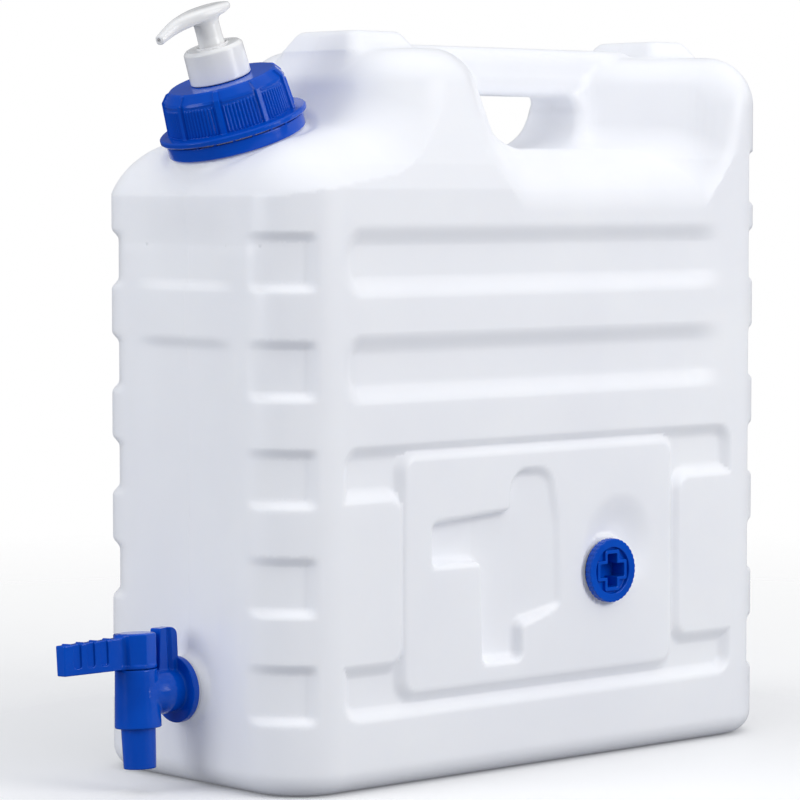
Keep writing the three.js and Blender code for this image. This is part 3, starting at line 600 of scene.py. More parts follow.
# ------------------------------------------------------------ canister
HALF_WIDTH, HALF_LENGTH = 89.1, 191.85
CORNER = 37
BLOCK_TOP = 404.6  # top of the block that carries the grip bar
SCOOP_FLOOR = 349.5
# the neck stands on a flat seat, square to its axis
SEAT_DROP = 2.5
SEAT_Y, SEAT_Z = NECK_Y + SEAT_DROP * NECK_S, NECK_Z - SEAT_DROP * NECK_C
# taper of the half width: (z, inset)
TAPER_Z, TAPER = [300, 326, 340, 352, 380.6, 404.6, 430], [0, 0, 1.8, 4.4, 11.1, 16.6, 20]
# front face of the block: (z, y)
BLOCK_Z, BLOCK_FRONT = [326, 352, 380.6, 404.6], [-119, -113, -106.5, -101]
# outlines are rows of (u, v, corner radius); hand scoop in (|x|, y)
SCOOP = outline(
    [(18.4, 95, 30), (18.4, 8, 22), (72, -38, 26), (130, -50, 0), (130, 160, 0), (72, 146, 40)], 7
)
# opening under the grip bar, in (y, z)
OPENING = outline([(15, 330, 0), (75.5, 330, 0), (93, 382, 9), (-4, 382, 9)], 9)
# stepped pocket in the +X side, in (y, z), and its depth along y
POCKET = outline([
    (-89, 119, 3), (-52.5, 119, 3), (-51, 62, 5), (-21, 62, 5), (-21, 82, 4), (9.5, 90, 6),
    (8, 138, 4), (2, 169, 12), (-28, 169, 12), (-30, 147, 3), (-89, 143, 4),
], 12)
POCKET_Y, POCKET_DEPTH = [-89, -52, -24, 11], [10, 9.4, 6.2, 0.4]
DISH_X, DISH_Y, DISH_Z = 85.1, 56, 122
# stacking pads: (y from, y to)
PADS = [(-91, -53), (150.5, 179)]
GROOVES = [41 + 58 * i for i in range(5)]  # lower z of each corner groove
GROOVE_DEPTH = 4.0
LONG_GROOVES = (229.5, 287.5)  # middle z of the grooves in the long sides
# raised panels in the long sides: (y from, y to, z from, z to, corner radius)
PANELS = [(-160, -114, 70, 157, 9), (-108, 98, 52, 179, 9), (108, 158, 66, 157, 9)]


def wall_inset(x, y, z):
    """How far the moulded grooves and panels set the wall back."""
    abs_x, abs_y = np.abs(x), np.abs(y)
    rear, ends, sides = y > 0, abs_y > 150, abs_y < 158
    # corner grooves: crisp towards the long side, soft towards the end face
    angle = np.arctan2(abs_y - (HALF_LENGTH - CORNER), abs_x - (HALF_WIDTH - CORNER))
    arc = (angle - math.radians(24)) * CORNER
    corner = ramp(abs_x - 61, 24) * ramp(arc - 2.4, 9) * ends
    rows = np.zeros_like(x)
    for low in GROOVES:
        rows = np.maximum(rows, ramp(np.minimum(z - low - 0.6, low + 28.4 - z), 6.4))
    rear_rows = np.maximum(rows, ramp(np.minimum(z - 318.6, 347.4 - z), 4.4))
    inset = np.maximum(0, GROOVE_DEPTH * corner * np.where(rear, rear_rows, rows))
    # end faces between the corners
    flat = ramp(np.where(rear, 41 - abs_x, 33 - abs_x), np.where(rear, 8, 26)) * ends
    inset = np.maximum(inset, np.where(rear, GROOVE_DEPTH * flat * rear_rows, 0))
    recess = np.maximum(
        ramp(z - 62, 50) * ramp(243.0 - z, 7), ramp(z - 274, 7) * ramp(308 - z, 34)
    )
    inset = np.maximum(inset, np.where(rear, 0, 2.8 * flat * recess))
    # long sides: two grooves with spoon-shaped ends
    for middle in LONG_GROOVES:
        groove = round_rect(y - 9, z - middle, 165, 17, 16)
        fade = ramp(y + 149, 16) * ramp(131 - y, 30)
        inset = np.maximum(inset, 4.5 * ramp(-groove - 3.2, 12) * fade * sides)
    # long sides: sunken field with raised panels
    sunken = round_rect(y + 1.5, z - 113.5, 151.5, 73, 10)
    for y0, y1, z0, z1, radius in PANELS:
        half_y, half_z = (y1 - y0) / 2 + 2, (z1 - z0) / 2 + 2
        panel = round_rect(y - (y0 + y1) / 2, z - (z0 + z1) / 2, half_y, half_z, radius)
        sunken = cut(sunken, panel)
    return np.maximum(inset, 4.7 * ramp(-sunken - 1.8, 8.5) * sides)


def shell(x, y, z):
    """Upright wall, and the body with its front shoulder and handle block."""
    rear = ramp(y - 95, 110)
    half_width = HALF_WIDTH - np.interp(z, TAPER_Z, TAPER) * (1 - rear)
    wall = round_rect(x, y, half_width, HALF_LENGTH, CORNER) + wall_inset(x, y, z)
    slope = (y - SEAT_Y) * -NECK_S + (z - SEAT_Z) * NECK_C
    shoulder = meet(meet(wall, slope, 45), y + 60)
    front = np.interp(z, BLOCK_Z, BLOCK_FRONT)
    middle, half = (front + HALF_LENGTH) / 2, (HALF_LENGTH - front) / 2
    side = round_rect(x, y - middle, half_width, half, 37.5)
    block = meet(wall, meet(side, z - BLOCK_TOP, 20 + 9 * rear))
    return wall, meet(join(shoulder, block, 15), wall)


def shape_handle(body, wall, abs_x, y, z):
    # hand scoops, rolling over into the long sides
    scoop = (polygon(abs_x, y, SCOOP) - 0.34 * (np.maximum(z, 344) - 380)) * 0.95
    roll = meet(wall, z - SCOOP_FLOOR, 36)
    rest = cut(body, scoop, 17)
    rest = cut(rest, meet(polygon(y, z, OPENING), abs_x - 60), 5)
    body = meet(join(roll, rest, 15), wall)
    # grip bar
    bar = meet(meet(abs_x - 19, band(z, 395.35, 13.35), 9.5), band(y, 42, 100), 8)
    body = join(body, bar, 3.5)
    for y0, y1 in PADS:
        lean = np.maximum(z - 403.6, 0) * 0.62
        pad = round_rect(abs_x, y - (y0 + y1) / 2, 33 - lean, (y1 - y0) / 2 + 7 - lean, 8)
        body = join(body, meet(meet(pad, 392 - z), z - 415, 3.2), 5)
    return body


def shape_neck(body, x, y, z):
    along = (y - NECK_Y) * NECK_C + (z - NECK_Z) * NECK_S
    up = (y - NECK_Y) * -NECK_S + (z - NECK_Z) * NECK_C
    radius = np.hypot(x, along)
    # keeps the skin out of the tamper ring
    body = cut(body, meet(radius - 43.5, -SEAT_DROP - up, 5), 4)
    root = meet(radius - 37.4, up + 0.7, 1.6)
    body = join(body, meet(root, -14 - up), 5)
    body = cut(body, meet(radius - 30, -6 - up))
    # room inside for the soap bottle
    return cut(body, meet(radius - 26.1, -102 - up))


def shape_side(body, x, y, z):
    """Pocket, dish and parking seat in the +X side."""
    depth = np.interp(y, POCKET_Y, POCKET_DEPTH)
    pocket = meet(polygon(y, z, POCKET) + 0.6, (HALF_WIDTH - x - depth) * 0.97, 4)
    body = cut(body, pocket, 3)
    radius = np.hypot(y - DISH_Y, z - DISH_Z)
    dish = meet((radius - 17 - (x - DISH_X) * 1.67) * 0.52, DISH_X - x, 4)
    body = cut(body, dish, 3.5)
    radius = np.hypot(y - PLUG_Y, z - PLUG_Z)
    body = join(body, meet(radius - 20.5, x - PLUG_X, 0.8), 1.6)
    body = cut(body, meet(radius - 19.8, PLUG_X - x, 1.2), 1)
    return cut(body, meet(radius - 15.2, 74.5 - x))


def shape_tap_boss(body, x, y, z):
    radius = np.hypot(x, z - TAP_Z)
    body = join(body, meet(radius - 17.2, -193.7 - y, 1.4), 5)
    return cut(body, meet(radius - 13.9, y + 178))


def canister_field(points):
    x, y, z = points.T
    wall, body = shell(x, y, z)
    part = z > 296
    body[part] = shape_handle(body[part], wall[part], np.abs(x[part]), y[part], z[part])
    # each feature is worked out only in its own part of space
    for part, shape in (
        ((z > 245) & (y < -70), shape_neck), (x > 66, shape_side), (y < -150, shape_tap_boss),
    ):
        body[part] = shape(body[part], x[part], y[part], z[part])
    # base: rounded edge and a shallow hollow underneath
    body = meet(body, -z, 13)
    part = z < 12
    hollow = meet(round_rect(x[part], y[part], 61, 163, 24) * 0.6, z[part] - 2.6, 2)
    body[part] = cut(body[part], hollow, 2)
    return body


moulding("canister_skin", "canister", "canister_body", "milky_hdpe", WORLD, canister_field,
         low=(-95, -204, -4), high=(95, 197, 420), cell=1.9)
turned(
    "neck_finish", "canister", "canister_body", "milky_hdpe", NECK,
    [
        (26.4, -13), (31.1, -13), (31.1, -0.9), (29.2, -0.9, 0.8), (29.2, 3.4, 0.8),
        (33.3, 3.9), (32.6, 6, 1), (29.2, 6.9, 0.6), (29.2, 29, 0.8), (26.4, 29, 0.8),
    ],
    segments=256, corner=0.5, step=0.5,
    push=thread(29.2, 1, start=15.4, pitch=6, turns=1.25, height=2.2, base=2.6, crest=1.4),
)
SOCKETS = {
    "tap_socket": (FRONT, [
        (13.5, -14), (15.0, -14), (15.0, -0.4), (14.6, 0, 0.3), (13.5, 0, 0.4),
    ]),
    "plug_socket": (SIDE, [
        (13.5, -12.4), (16.2, -12.4), (16.4, -0.3, 0.3), (16.0, 0.05, 0.3), (13.5, 0.05, 0.5),
    ]),
}
for socket, (face, rim) in SOCKETS.items():
    turned(
        socket, "canister", "canister_body", "milky_hdpe", face, rim,
        segments=128, corner=0.3, step=0.4,
        push=thread(13.5, -1, start=-11.5, pitch=3, turns=2.2, height=1.3, base=1.2, crest=0.7),
    )

# ------------------------------------------------------------ cap group
BRIDGES = 22
BRIDGE_RADII = 37.2, 38.55
BRIDGE_HALF = 0.9
BRIDGE_LEVELS = [(6.9, 1.0), (7.6, 0.85), (8.2, 0.8), (8.36, 0.6)]  # (z, part of full width)


def tamper_band():
    """Ring with the small bridges left on its break line."""
    profile = [
        (31.2, 0.3), (33, 0), (38.2, 0), (38.8, 0.7), (38.8, 7.3), (35.2, 7.3), (35.2, 2.6),
        (31.2, 2.3),
    ]
    verts, quads, _ = lathe(dense(soft(profile, 0.4, True), 1.2, True), 192, closed=True)
    verts, quads = verts.tolist(), quads.tolist()
    inner, outer = BRIDGE_RADII
    for i in range(BRIDGES):
        angle = TURN * (i + 0.5) / BRIDGES
        cos, sin = math.cos(angle), math.sin(angle)
        base = len(verts)
        for z, part in BRIDGE_LEVELS:
            half = BRIDGE_HALF * part
            for radius, side in ((inner, -half), (outer, -half), (outer, half), (inner, half)):
                verts.append((radius * cos - side * sin, radius * sin + side * cos, z))
        for level in range(3):
            low = base + 4 * level
            for j in range(4):
                k = (j + 1) % 4
                quads.append((low + j, low + k, low + 4 + k, low + 4 + j))
        quads.append((base + 12, base + 13, base + 14, base + 15))
        quads.append((base + 3, base + 2, base + 1, base))
    return make("tamper_band", verts, quads, (), NECK, recalc=True)


place(tamper_band(), "canister", "tamper_ring", "blue_plastic")
turned(
    "cap_seal_washer", "cap_seat", "cap_seal", "silicone", NECK,
    [(26.8, 29.3), (29, 29.3), (29, 30.8), (26.8, 30.8)], segments=128, corner=0.4, step=0.6,
)

CAP_BORE = 32.2
# outer surface of the cap: (z, radius)
SKIRT_Z, SKIRT = [12.0, 12.6, 30.6, 34.7, 35.6], [35.4, 34.9, 33.6, 30.3, 29.2]
CAP_RIBS = 9
KNURLS = 12  # from one rib to the next
cap_thread = thread(CAP_BORE, -1, start=12.4, pitch=6, turns=1.25, height=2.2, base=2.4, crest=1.2)


def cap_push(angle, radius, z):
    outer = (z > 11.95) & (radius > np.interp(z, SKIRT_Z, SKIRT) - 0.45) & (radius < 37)
    # ribs run up the skirt and over the chamfer
    pitch = TURN / CAP_RIBS
    off = (angle - math.radians(32) + pitch / 2) % pitch - pitch / 2
    rib = 1.5 * ramp(1.45 - np.abs(off) * 34.5, 0.7) * ramp(35.2 - z, 0.9)
    # fine knurls between them, ending under a plain band
    clear = (np.abs(off) - 0.078) / (pitch / 2 - 0.078)
    wave = 0.5 - 0.5 * np.cos(TURN * ((off + pitch / 2) / pitch * KNURLS))
    knurl = 0.75 * wave ** 0.8 * ramp(27.4 - z, 0.9) * ramp(clear, 0.12) * ramp(z - 12.6, 0.8)
    plain = 0.42 * ramp(29.9 - z, 0.5) * ramp(z - 28.9, 0.5) * ramp(clear, 0.1)
    return np.where(outer, np.maximum(rib, knurl + plain), 0) + cap_thread(angle, radius, z)


turned(
    "screw_cap_moulding", "cap", "screw_cap", "blue_plastic", NECK,
    [
        (CAP_BORE, 8.5), (40.9, 8.5, 0.5), (41.5, 9.1, 0.4), (41.5, 11.0, 0.6),
        (40.6, 11.7, 0.5), (35.2, 12.1, 0.9), (34.9, 12.6, 0.5), (33.6, 30.6, 1.6),
        (30.3, 34.7, 1.2), (29.2, 35.6, 0.8), (14.3, 35.6, 0.5), (14.3, 33.3, 0.3),
        (29.4, 33.3, 1), (CAP_BORE, 30.4, 1),
    ],
    segments=1080, corner=0.4, step=0.42, push=cap_push,
)
turned(
    "soap_bottle_shell", "cap", "soap_bottle", "clear_plastic", NECK,
    [
        (0, -95), (21, -95, 3), (24.3, -91.5, 3), (24.3, 31.1, 0.8), (28.9, 31.1), (28.9, 33),
        (13.5, 33, 0.6), (13.5, 35.6), (12.5, 36.2), (12.5, 49.4), (10.6, 49.4),
        (10.6, 31.6, 2), (22.8, 28, 3), (22.8, -91, 3), (20.6, -93.4, 2), (0, -93.4),
    ],
    segments=160, corner=0.4, step=0.5, closed=False,
    push=thread(12.5, 1, start=39.8, pitch=4.2, turns=1.2, height=1.1, base=1.2, crest=0.8),
)

# ------------------------------------------------------------ pump
turned(
    "pump_collar_shell", "collar", "pump_collar", "white_plastic", NECK,
    [
        (14.3, 36), (16.7, 36, 0.3), (17, 36.5, 0.3), (16.6, 53.0, 1.4), (15.0, 54.6, 1.3),
        (9.2, 54.6, 0.5), (8.9, 55.3, 0.3), (8.1, 55.3, 0.3), (8, 52.7, 0.3), (14.3, 52.7, 0.6),
    ],
    segments=192, corner=0.4, step=0.5,
    push=thread(14.3, -1, start=37.8, pitch=4.2, turns=1.2, height=1.25, base=1.2, crest=0.7),
)
turned(
    "pump_gasket_washer", "pump", "pump_gasket", "silicone", NECK,
    [(10.8, 49.7), (13.2, 49.7), (13.2, 50.7), (10.8, 50.7)], segments=96, corner=0.3, step=0.5,
)
turned(
    "pump_housing_tube", "pump", "pump_housing", "white_plastic", NECK,
    [
        (8.4, 52.4), (8.4, 38.5), (5.4, 38.5), (5.4, 2), (2.9, 2), (2.9, -3), (1.5, -4.6),
        (1.5, -7), (2.2, -7), (2.2, -13), (3.4, -13), (3.4, -6), (4.2, -4), (6.6, 0),
        (6.6, 36), (9.4, 37.2), (9.4, 51), (13.6, 51), (13.6, 52.4),
    ],
    segments=96, corner=0.3, step=2,
)
turned(
    "pump_guide_sleeve", "pump", "pump_guide", "white_plastic", NECK,
    [
        (3.9, 36.4), (5.1, 36.4), (5.1, 38.8), (8.1, 38.8), (8.1, 40.2), (5.3, 40.2),
        (5.3, 50), (3.9, 50),
    ],
    segments=96, corner=0.25, step=2,
)
turned(
    "pump_stem_tube", "plunger", "pump_stem", "white_plastic", NECK,
    [(1.9, 25), (3.4, 25), (3.4, 66), (1.9, 66)], segments=96, corner=0.25, step=2,
)
turned(
    "piston_seal_cup", "plunger", "piston_seal", "silicone", NECK,
    [(3.7, 26), (4.6, 25.2), (5.1, 25.2), (4.9, 28), (5.1, 31), (4.6, 31), (3.7, 30)],
    segments=96, corner=0.25, step=1,
)
turned(
    "dip_tube_straw", "pump", "dip_tube", "clear_plastic", NECK,
    [(1.3, -91), (1.9, -91), (1.9, -7.4), (1.3, -7.4)], segments=64, corner=0.15, step=3,
)

BALL_RADIUS, BALL_Z = 2.2, -2.5
half_circle = [
    (BALL_RADIUS * math.sin(a), BALL_Z - BALL_RADIUS * math.cos(a))
    for a in np.linspace(0, math.pi, 33)
]
ball = make("inlet_ball_bearing", *lathe(half_circle, 64), NECK, recalc=True)
place(ball, "ball", "inlet_ball", "steel")

SPRING_FOOT, SPRING_TOP = 2.8, 24.2
SPRING_TURNS = 7.0
SPRING_RADIUS, WIRE_RADIUS = 4.3, 0.42
WIRE_SIDES, STEPS_PER_TURN = 16, 48


def coil_spring():
    """Coil whose end turns lie almost flat."""
    steps = int(SPRING_TURNS * STEPS_PER_TURN)
    verts, quads = [], []
    for i in range(steps + 1):
        turn = i / steps * SPRING_TURNS
        rise = np.interp(turn, [0, 0.9, SPRING_TURNS - 0.9, SPRING_TURNS], [0, 0.045, 0.955, 1])
        middle = SPRING_FOOT + 0.35 + (SPRING_TOP - SPRING_FOOT - 0.7) * rise
        cos, sin = math.cos(turn * TURN), math.sin(turn * TURN)
        for j in range(WIRE_SIDES):
            around = TURN * j / WIRE_SIDES
            radius = SPRING_RADIUS + WIRE_RADIUS * math.cos(around)
            z = middle + WIRE_RADIUS * math.sin(around)
            verts.append((radius * cos, radius * sin, z))
    last = steps * WIRE_SIDES
    start_cap, end_cap = len(verts), len(verts) + 1
    verts += [np.mean(verts[:WIRE_SIDES], 0), np.mean(verts[last:], 0)]
    sides = [(j, (j + 1) % WIRE_SIDES) for j in range(WIRE_SIDES)]
    for low in range(0, last, WIRE_SIDES):
        high = low + WIRE_SIDES
        quads += [(low + j, high + j, high + k, low + k) for j, k in sides]
    tris = [(start_cap, j, k) for j, k in sides]
    tris += [(end_cap, last + k, last + j) for j, k in sides]
    return make("pump_spring_coil", np.array(verts), quads, tris, NECK, recalc=True)


spring = coil_spring()
place(spring, "pump", "pump_spring", "steel")
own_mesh(spring)

# pump head from spout tip to rear: (y, half width, z of underside, z of top)
HEAD_STATIONS = np.array([
    [-36.5, 2.8, 65.2, 69.6], [-34.4, 3.0, 65.6, 70.5], [-29, 3.3, 66.9, 72.8],
    [-22, 4.2, 68.2, 75.2], [-14, 6.3, 68.9, 76.4], [-6, 8.8, 69.2, 76.8],
    [3, 9.9, 69.4, 76.6], [10, 9.1, 70.4, 76.0], [14, 6.8, 71.4, 75.4], [16.8, 2.6, 72.4, 74.6],
])
# middle line of the channel that runs from the stem to the spout tip
CHANNEL = np.array([[0, 0, 72.2], [0, -22, 72.0], [0, -40, 66.2]])


def smooth_table(table, count=400):
    """Smooth cubic through the rows of a table, by its first column."""
    keys = table[:, 0]
    finer = np.linspace(keys[0], keys[-1], count)
    slope = np.gradient(table[:, 1:], keys, axis=0)
    out = []
    for key in finer:
        i = min(max(np.searchsorted(keys, key) - 1, 0), len(keys) - 2)
        gap = keys[i + 1] - keys[i]
        t = (key - keys[i]) / gap
        out.append(
            (2 * t**3 - 3 * t**2 + 1) * table[i, 1:] + (t**3 - 2 * t**2 + t) * gap * slope[i]
            + (3 * t**2 - 2 * t**3) * table[i + 1, 1:] + (t**3 - t**2) * gap * slope[i + 1]
        )
    return finer, np.array(out).T


HEAD_Y, HEAD_CURVES = smooth_table(HEAD_STATIONS)


def head_field(points):
    x, y, z = points.T
    width, low, high = (np.interp(y, HEAD_Y, curve) for curve in HEAD_CURVES)
    middle, half = (low + high) / 2, (high - low) / 2
    up = (z - middle) / half
    # shallow thumb dish on top
    dish = 0.35 * np.exp(-((x / 6.5) ** 2)) * np.exp(-(((y - 4) / 11) ** 2))
    up = up + np.where(up > 0, dish * 0.35, 0)
    power = 3.0
    section = ((np.abs(x) / width) ** power + np.abs(up) ** power) ** (1 / power) - 1
    head = section * np.minimum(width, half) * 0.95
    head = meet(head, between(y, -34.4, 16.2), 0.7)
    radius = np.hypot(x, y)
    skirt = np.interp(z, [51.2, 52.2, 60, 70], [7.35, 7.4, 7.0, 7.0])
    head = join(head, meet(radius - skirt, between(z, 51.2, 70.5), 0.35), 2.6)
    # bores for the guide and the stem, then the outlet
    head = cut(head, meet(radius - 5.9, z - 61.5, 0.6))
    head = cut(head, meet(radius - 3.6, z - 66.3))
    head = cut(head, meet(radius - 1.8, z - 71.6))
    for start, end in zip(CHANNEL, CHANNEL[1:]):
        edge = end - start
        t = np.clip(((points - start) @ edge) / (edge @ edge), 0, 1)
        head = cut(head, np.linalg.norm(points - start - t[:, None] * edge, axis=1) - 1.25)
    return head


moulding("pump_head_spout", "head", "pump_head", "white_plastic", NECK, head_field,
         low=(-11.2, -36, 50), high=(11.2, 21.2, 78.2), cell=0.4)

# ------------------------------------------------------------ tap
turned(
    "tap_gasket_ring", "tap_seat", "tap_gasket", "silicone", FRONT,
    [(13.9, 0.3), (17, 0.3), (17, 2.4), (13.9, 2.4)], segments=128, corner=0.6, step=0.5,
)
# fin above the inlet, in (y, z)
FIN = outline([(26, 35, 4.5), (14.3, 34.4, 1.2), (12.8, 13.6, 0.5), (11, 8, 0), (26, 8, 0)], 12)
O_RING_Z = 10.4


def threaded_stub(x, y, z):
    """Endless stub round Z, with the screw thread of the tap and the plug."""
    ridge = helix(np.arctan2(y, x) % TURN, z,
                  start=-10, pitch=3, turns=2.2, height=1.1, base=1.3, crest=0.6)
    return (np.hypot(x, y) - 11.6 - ridge) * 0.8


def tap_field(points):
    x, y, z = points.T
    radius, inlet_radius = np.hypot(x, y), np.hypot(x, z)
    barrel = radius - np.interp(z, [-17.4, 13.6], [12.8, 11.5])
    barrel = meet(barrel, between(z, -18.2, 13.6), 0.7)
    spout = radius - np.interp(z, [-40.4, -18.2], [8.9, 9.5])
    spout = meet(spout, between(z, -40.4, -10), 0.6)
    bulb = inlet_radius - (11.7 + 0.9 * np.exp(-(((y - 15.5) / 5.5) ** 2)))
    flange = meet(inlet_radius - 18.3, band(y, 27.1, 2.0), 0.7)
    body = join(barrel, meet(bulb, between(y, 0, 27)), 1.0)
    body = join(body, flange, 1.4)
    body = join(body, spout, 0.5)
    stub = threaded_stub(x, z, TAP_REACH - y)
    body = join(body, meet(stub, between(y, 27, 44.8), 0.4))
    fin = meet(polygon(y, z, FIN), np.abs(x) - 4.5, 0.5)
    groove = (np.abs(y - 20.2 + (z - 20) * 0.03) - (np.abs(x) - 3.0) * 1.15) * 0.65
    fin = cut(fin, meet(groove, 3.0 - np.abs(x)))
    body = join(body, fin, 0.9)
    # inlet bore, seat of the lever core, outlet and its flared mouth
    body = cut(body, meet(inlet_radius - 7, -y))
    body = cut(body, meet(radius - 9, -15.4 - z))
    body = cut(body, meet(radius - 6.6, z, 0.2))
    mouth = meet(radius - 7.4, -(z + 42), 0.1)
    return cut(body, meet(mouth, z + 39.8 + (radius - 6.6)))


moulding("tap_body_moulding", "tap", "tap_body", "blue_plastic", BARREL, tap_field,
         low=(-19.5, -14, -41.6), high=(19.5, 46, 36.4), cell=0.55)

LEVER_PITCH = 9  # of the slots and of the ticks between them


def lever_field(points):
    x, y, z = points.T
    radius, abs_x = np.hypot(x, y), np.abs(x)
    wave = np.sin(4.0 * np.arctan2(y, x) + 0.4)
    flute = 0.75 * np.sqrt(wave ** 2 + 0.004) * ramp(z - 16.2, 1.5)
    hub = radius - np.interp(z, [14, 31.6], [11.55, 11.95]) + flute
    hub = meet(hub, between(z, 14.0, 33), 0.9)
    hub = join(hub, meet(radius - 9.4, band(z, 32.9, 0.35), 0.3), 0.3)
    half = np.interp(z, [14, 31], [3.6, 3.9])
    top = np.interp(y, [-50.4, -12], [30.4, 31.4])
    blade = meet(meet(abs_x - half, band(y, -29.2, 21.2), 0.8), between(z, 14.0, top), 0.7)
    for i in range(3):
        slot = meet(band(y, -41.5 + LEVER_PITCH * i, 2.5), 17.6 - z, 1.6)
        blade = cut(blade, meet(slot, 2.65 - abs_x), 0.4)
    for i in range(4):
        tick = meet(abs_x - 3.4, band(z - top, 0.1, 0.55))
        blade = join(blade, meet(tick, band(y, -46 + LEVER_PITCH * i, 0.55), 0.25))
    core = meet(radius - 8.5, between(z, -14.8, 15), 0.3)
    for groove_z in (O_RING_Z, -O_RING_Z):
        core = cut(core, meet(7.2 - radius, band(z, groove_z, 1.2)))
    lever = join(join(hub, blade, 1.6), core)
    lever = cut(lever, meet(radius - 6, z - 8.2))
    return cut(lever, meet(np.hypot(x, z) - 5.4, -y))


moulding("tap_lever_moulding", "lever", "tap_lever", "blue_plastic", BARREL, lever_field,
         low=(-13.2, -53.6, -15.8), high=(13.2, 13.2, 34.4), cell=0.45)
for tag, ring_z in (("upper", O_RING_Z), ("lower", -O_RING_Z)):
    section = [
        (8.1 + 0.6 * math.cos(a), ring_z + 0.85 * math.sin(a))
        for a in np.linspace(0, TURN, 24, False)
    ]
    ring = make(f"o_ring_{tag}", *lathe(section, 96, closed=True), BARREL, recalc=True)
    place(ring, "lever", f"core_o_ring_{tag}", "black_rubber")

# ------------------------------------------------------------ parked plug
turned(
    "plug_gasket_ring", "plug_seat", "plug_gasket", "black_rubber", SIDE,
    [(13.9, 0.3), (17, 0.3), (17, 1.6), (13.9, 1.6)], segments=128, corner=0.5, step=0.5,
)


def cross(x, y, narrow, wide, radius):
    return join(round_rect(x, y, narrow, wide, radius), round_rect(x, y, wide, narrow, radius))


def plug_field(points):
    x, y, z = points.T
    radius = np.hypot(x, y)
    rim = 18.4 - 0.28 * ramp(np.cos(36 * np.arctan2(y, x)) - 0.2, 0.8)
    flange = meet(radius - rim, band(z, 4.15, 2.25), 0.6)
    flange = cut(flange, meet(radius - 13.4, 4.0 - z, 0.5), 0.5)
    stub = meet(threaded_stub(x, y, z), between(z, -11, 3), 0.4)
    wall = meet(cross(x, y, 5.8, 11.8, 1.2), between(z, 2, 6), 0.35)
    hole = meet(cross(x, y, 3.9, 9.6, 0.8), -4 - z)
    return cut(join(join(flange, stub), wall), hole, 0.3)


moulding("parking_plug_moulding", "plug", "parking_plug", "blue_plastic", SIDE, plug_field,
         low=(-19.4, -19.4, -12), high=(19.4, 19.4, 7.4), cell=0.36)

# ------------------------------------------------------------ stage
FLOOR_RINGS = [0.3, 0.8, 1.5, 2.4, 3.2]  # metres
FLOOR_SIDES = 96


def floor_material():
    """White to the camera, grey to other rays, fading out with distance."""
    material, tree, shader, output, coords = new_material("studio_floor")
    seen = add(tree, "LightPath").outputs["Is Camera Ray"]
    feed(tree, shader, {
        "Base Color": mix(tree, seen, (0.24, 0.25, 0.28), (1.0, 1.0, 1.0)),
        "Roughness": 0.6,
        "Specular IOR Level": 0.2,
    })
    away = add(tree, "VectorMath", {0: coords}, operation="LENGTH").outputs["Value"]
    fade = spread(tree, away, 0, 1, 0.30, 1.3)
    soften = add(tree, "Math", {0: fade, 1: 0.6}, operation="POWER").outputs[0]
    clear = add(tree, "BsdfTransparent").outputs[0]
    blend = add(tree, "MixShader", {"Fac": soften, 1: shader.outputs["BSDF"], 2: clear})
    feed(tree, output, {"Surface": blend.outputs[0]})
    return material


def stage_floor():
    material = floor_material()
    angles = [TURN * i / FLOOR_SIDES for i in range(FLOOR_SIDES)]
    verts = [(0, 0, 0)]
    for radius in FLOOR_RINGS:
        verts += [(radius * 1000 * math.cos(a), radius * 1000 * math.sin(a), 0) for a in angles]
    sides = [(i, (i + 1) % FLOOR_SIDES) for i in range(FLOOR_SIDES)]
    tris = [(0, 1 + i, 1 + j) for i, j in sides]
    quads = []
    for ring_index in range(len(FLOOR_RINGS) - 1):
        low = 1 + ring_index * FLOOR_SIDES
        high = low + FLOOR_SIDES
        quads += [(low + i, high + i, high + j, low + j) for i, j in sides]
    ob = make("studio_floor", verts, quads, tris)
    ob.location.z = -0.0004
    ob.data.materials.append(material)


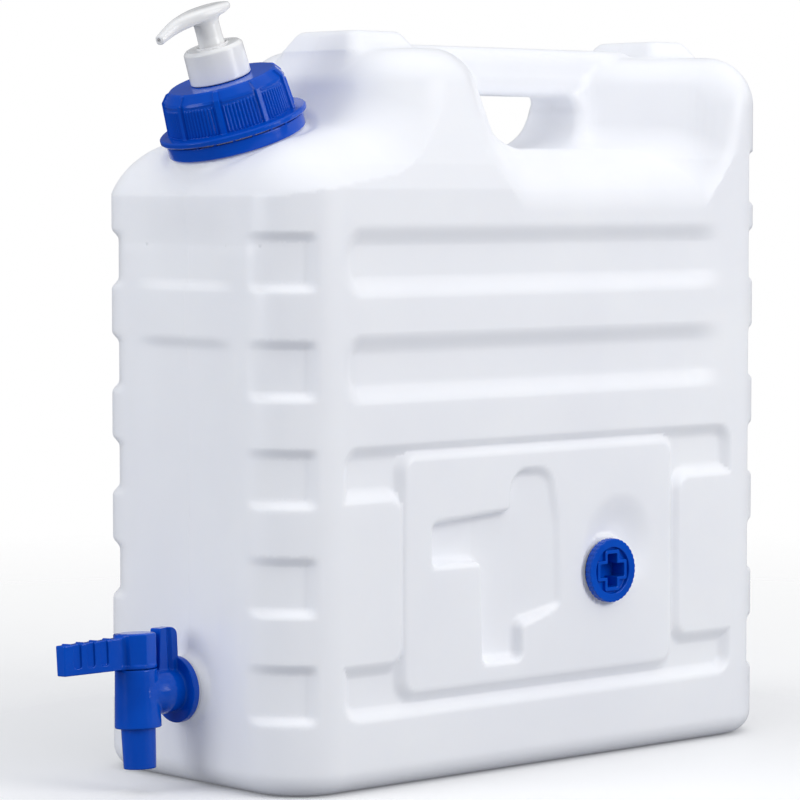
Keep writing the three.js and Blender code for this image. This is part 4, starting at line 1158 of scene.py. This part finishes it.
def studio_world():
    """White to the camera; a dim vertical gradient lights the scene."""
    world = bpy.data.worlds.new("studio")
    scene.world = world
    world.use_nodes = True
    tree = world.node_tree
    tree.nodes.clear()
    output = add(tree, "OutputWorld")
    white = add(tree, "Background", {"Color": (1, 1, 1, 1), "Strength": 1.0})
    direction = add(tree, "TexCoord").outputs["Generated"]
    height = add(tree, "SeparateXYZ", {0: direction}).outputs[2]
    gradient_ramp = add(tree, "ValToRGB", {"Fac": spread(tree, height, 0, 1, -0.2, 0.9)})
    stops = ((0.0, (0.28, 0.29, 0.32, 1)), (1.0, (0.80, 0.81, 0.83, 1)))
    for element, (position, colour) in zip(gradient_ramp.color_ramp.elements, stops):
        element.position = position
        element.color = colour
    path = add(tree, "LightPath")
    # weaker in reflections
    strength = spread(tree, path.outputs["Is Glossy Ray"], 1.0, 0.28, 0, 1)
    lit = add(tree, "Background", {
        "Color": gradient_ramp.outputs["Color"], "Strength": strength,
    })
    blend = add(tree, "MixShader", {
        "Fac": path.outputs["Is Camera Ray"], 1: lit.outputs[0], 2: white.outputs[0],
    })
    feed(tree, output, {"Surface": blend.outputs[0]})


def aim(ob, where, direction):
    ob.location = where
    ob.rotation_mode = "QUATERNION"
    ob.rotation_quaternion = Vector(direction).to_track_quat("-Z", "Y")
    scene.collection.objects.link(ob)


def area_light(name, where, target, size, watts, colour=(1, 1, 1)):
    light = bpy.data.lights.new(name, "AREA")
    light.shape = "RECTANGLE"
    light.size, light.size_y = size
    light.energy = watts
    light.color = colour
    aim(bpy.data.objects.new(name, light), where, Vector(target) - Vector(where))


def add_camera():
    camera = bpy.data.cameras.new("camera")
    camera.lens = 157.80
    camera.sensor_width = 36
    camera.clip_start, camera.clip_end = 0.05, 50
    ob = bpy.data.objects.new("camera", camera)
    aim(ob, where=(1.4968, -1.3872, 0.3284), direction=(-0.7402, 0.6696, -0.0611))
    scene.camera = ob


scene = bpy.context.scene
stage_floor()
scene.view_settings.view_transform = "Standard"
scene.view_settings.look = "None"
studio_world()
area_light("top_box", where=(0.25, 0.1, 1.9), target=(0, 0, 0.2), size=(1.8, 1.8), watts=4.5)
area_light("right_box", where=(1.9, 0.6, 0.92), target=(0, 0, 0.22), size=(1.2, 1.2),
           watts=18.5, colour=(1, 0.995, 0.985))
area_light("left_box", where=(-0.5, -1.9, 0.7), target=(0, -0.1, 0.22), size=(0.9, 1.2),
           watts=11.5, colour=(0.95, 0.97, 1))
add_camera()
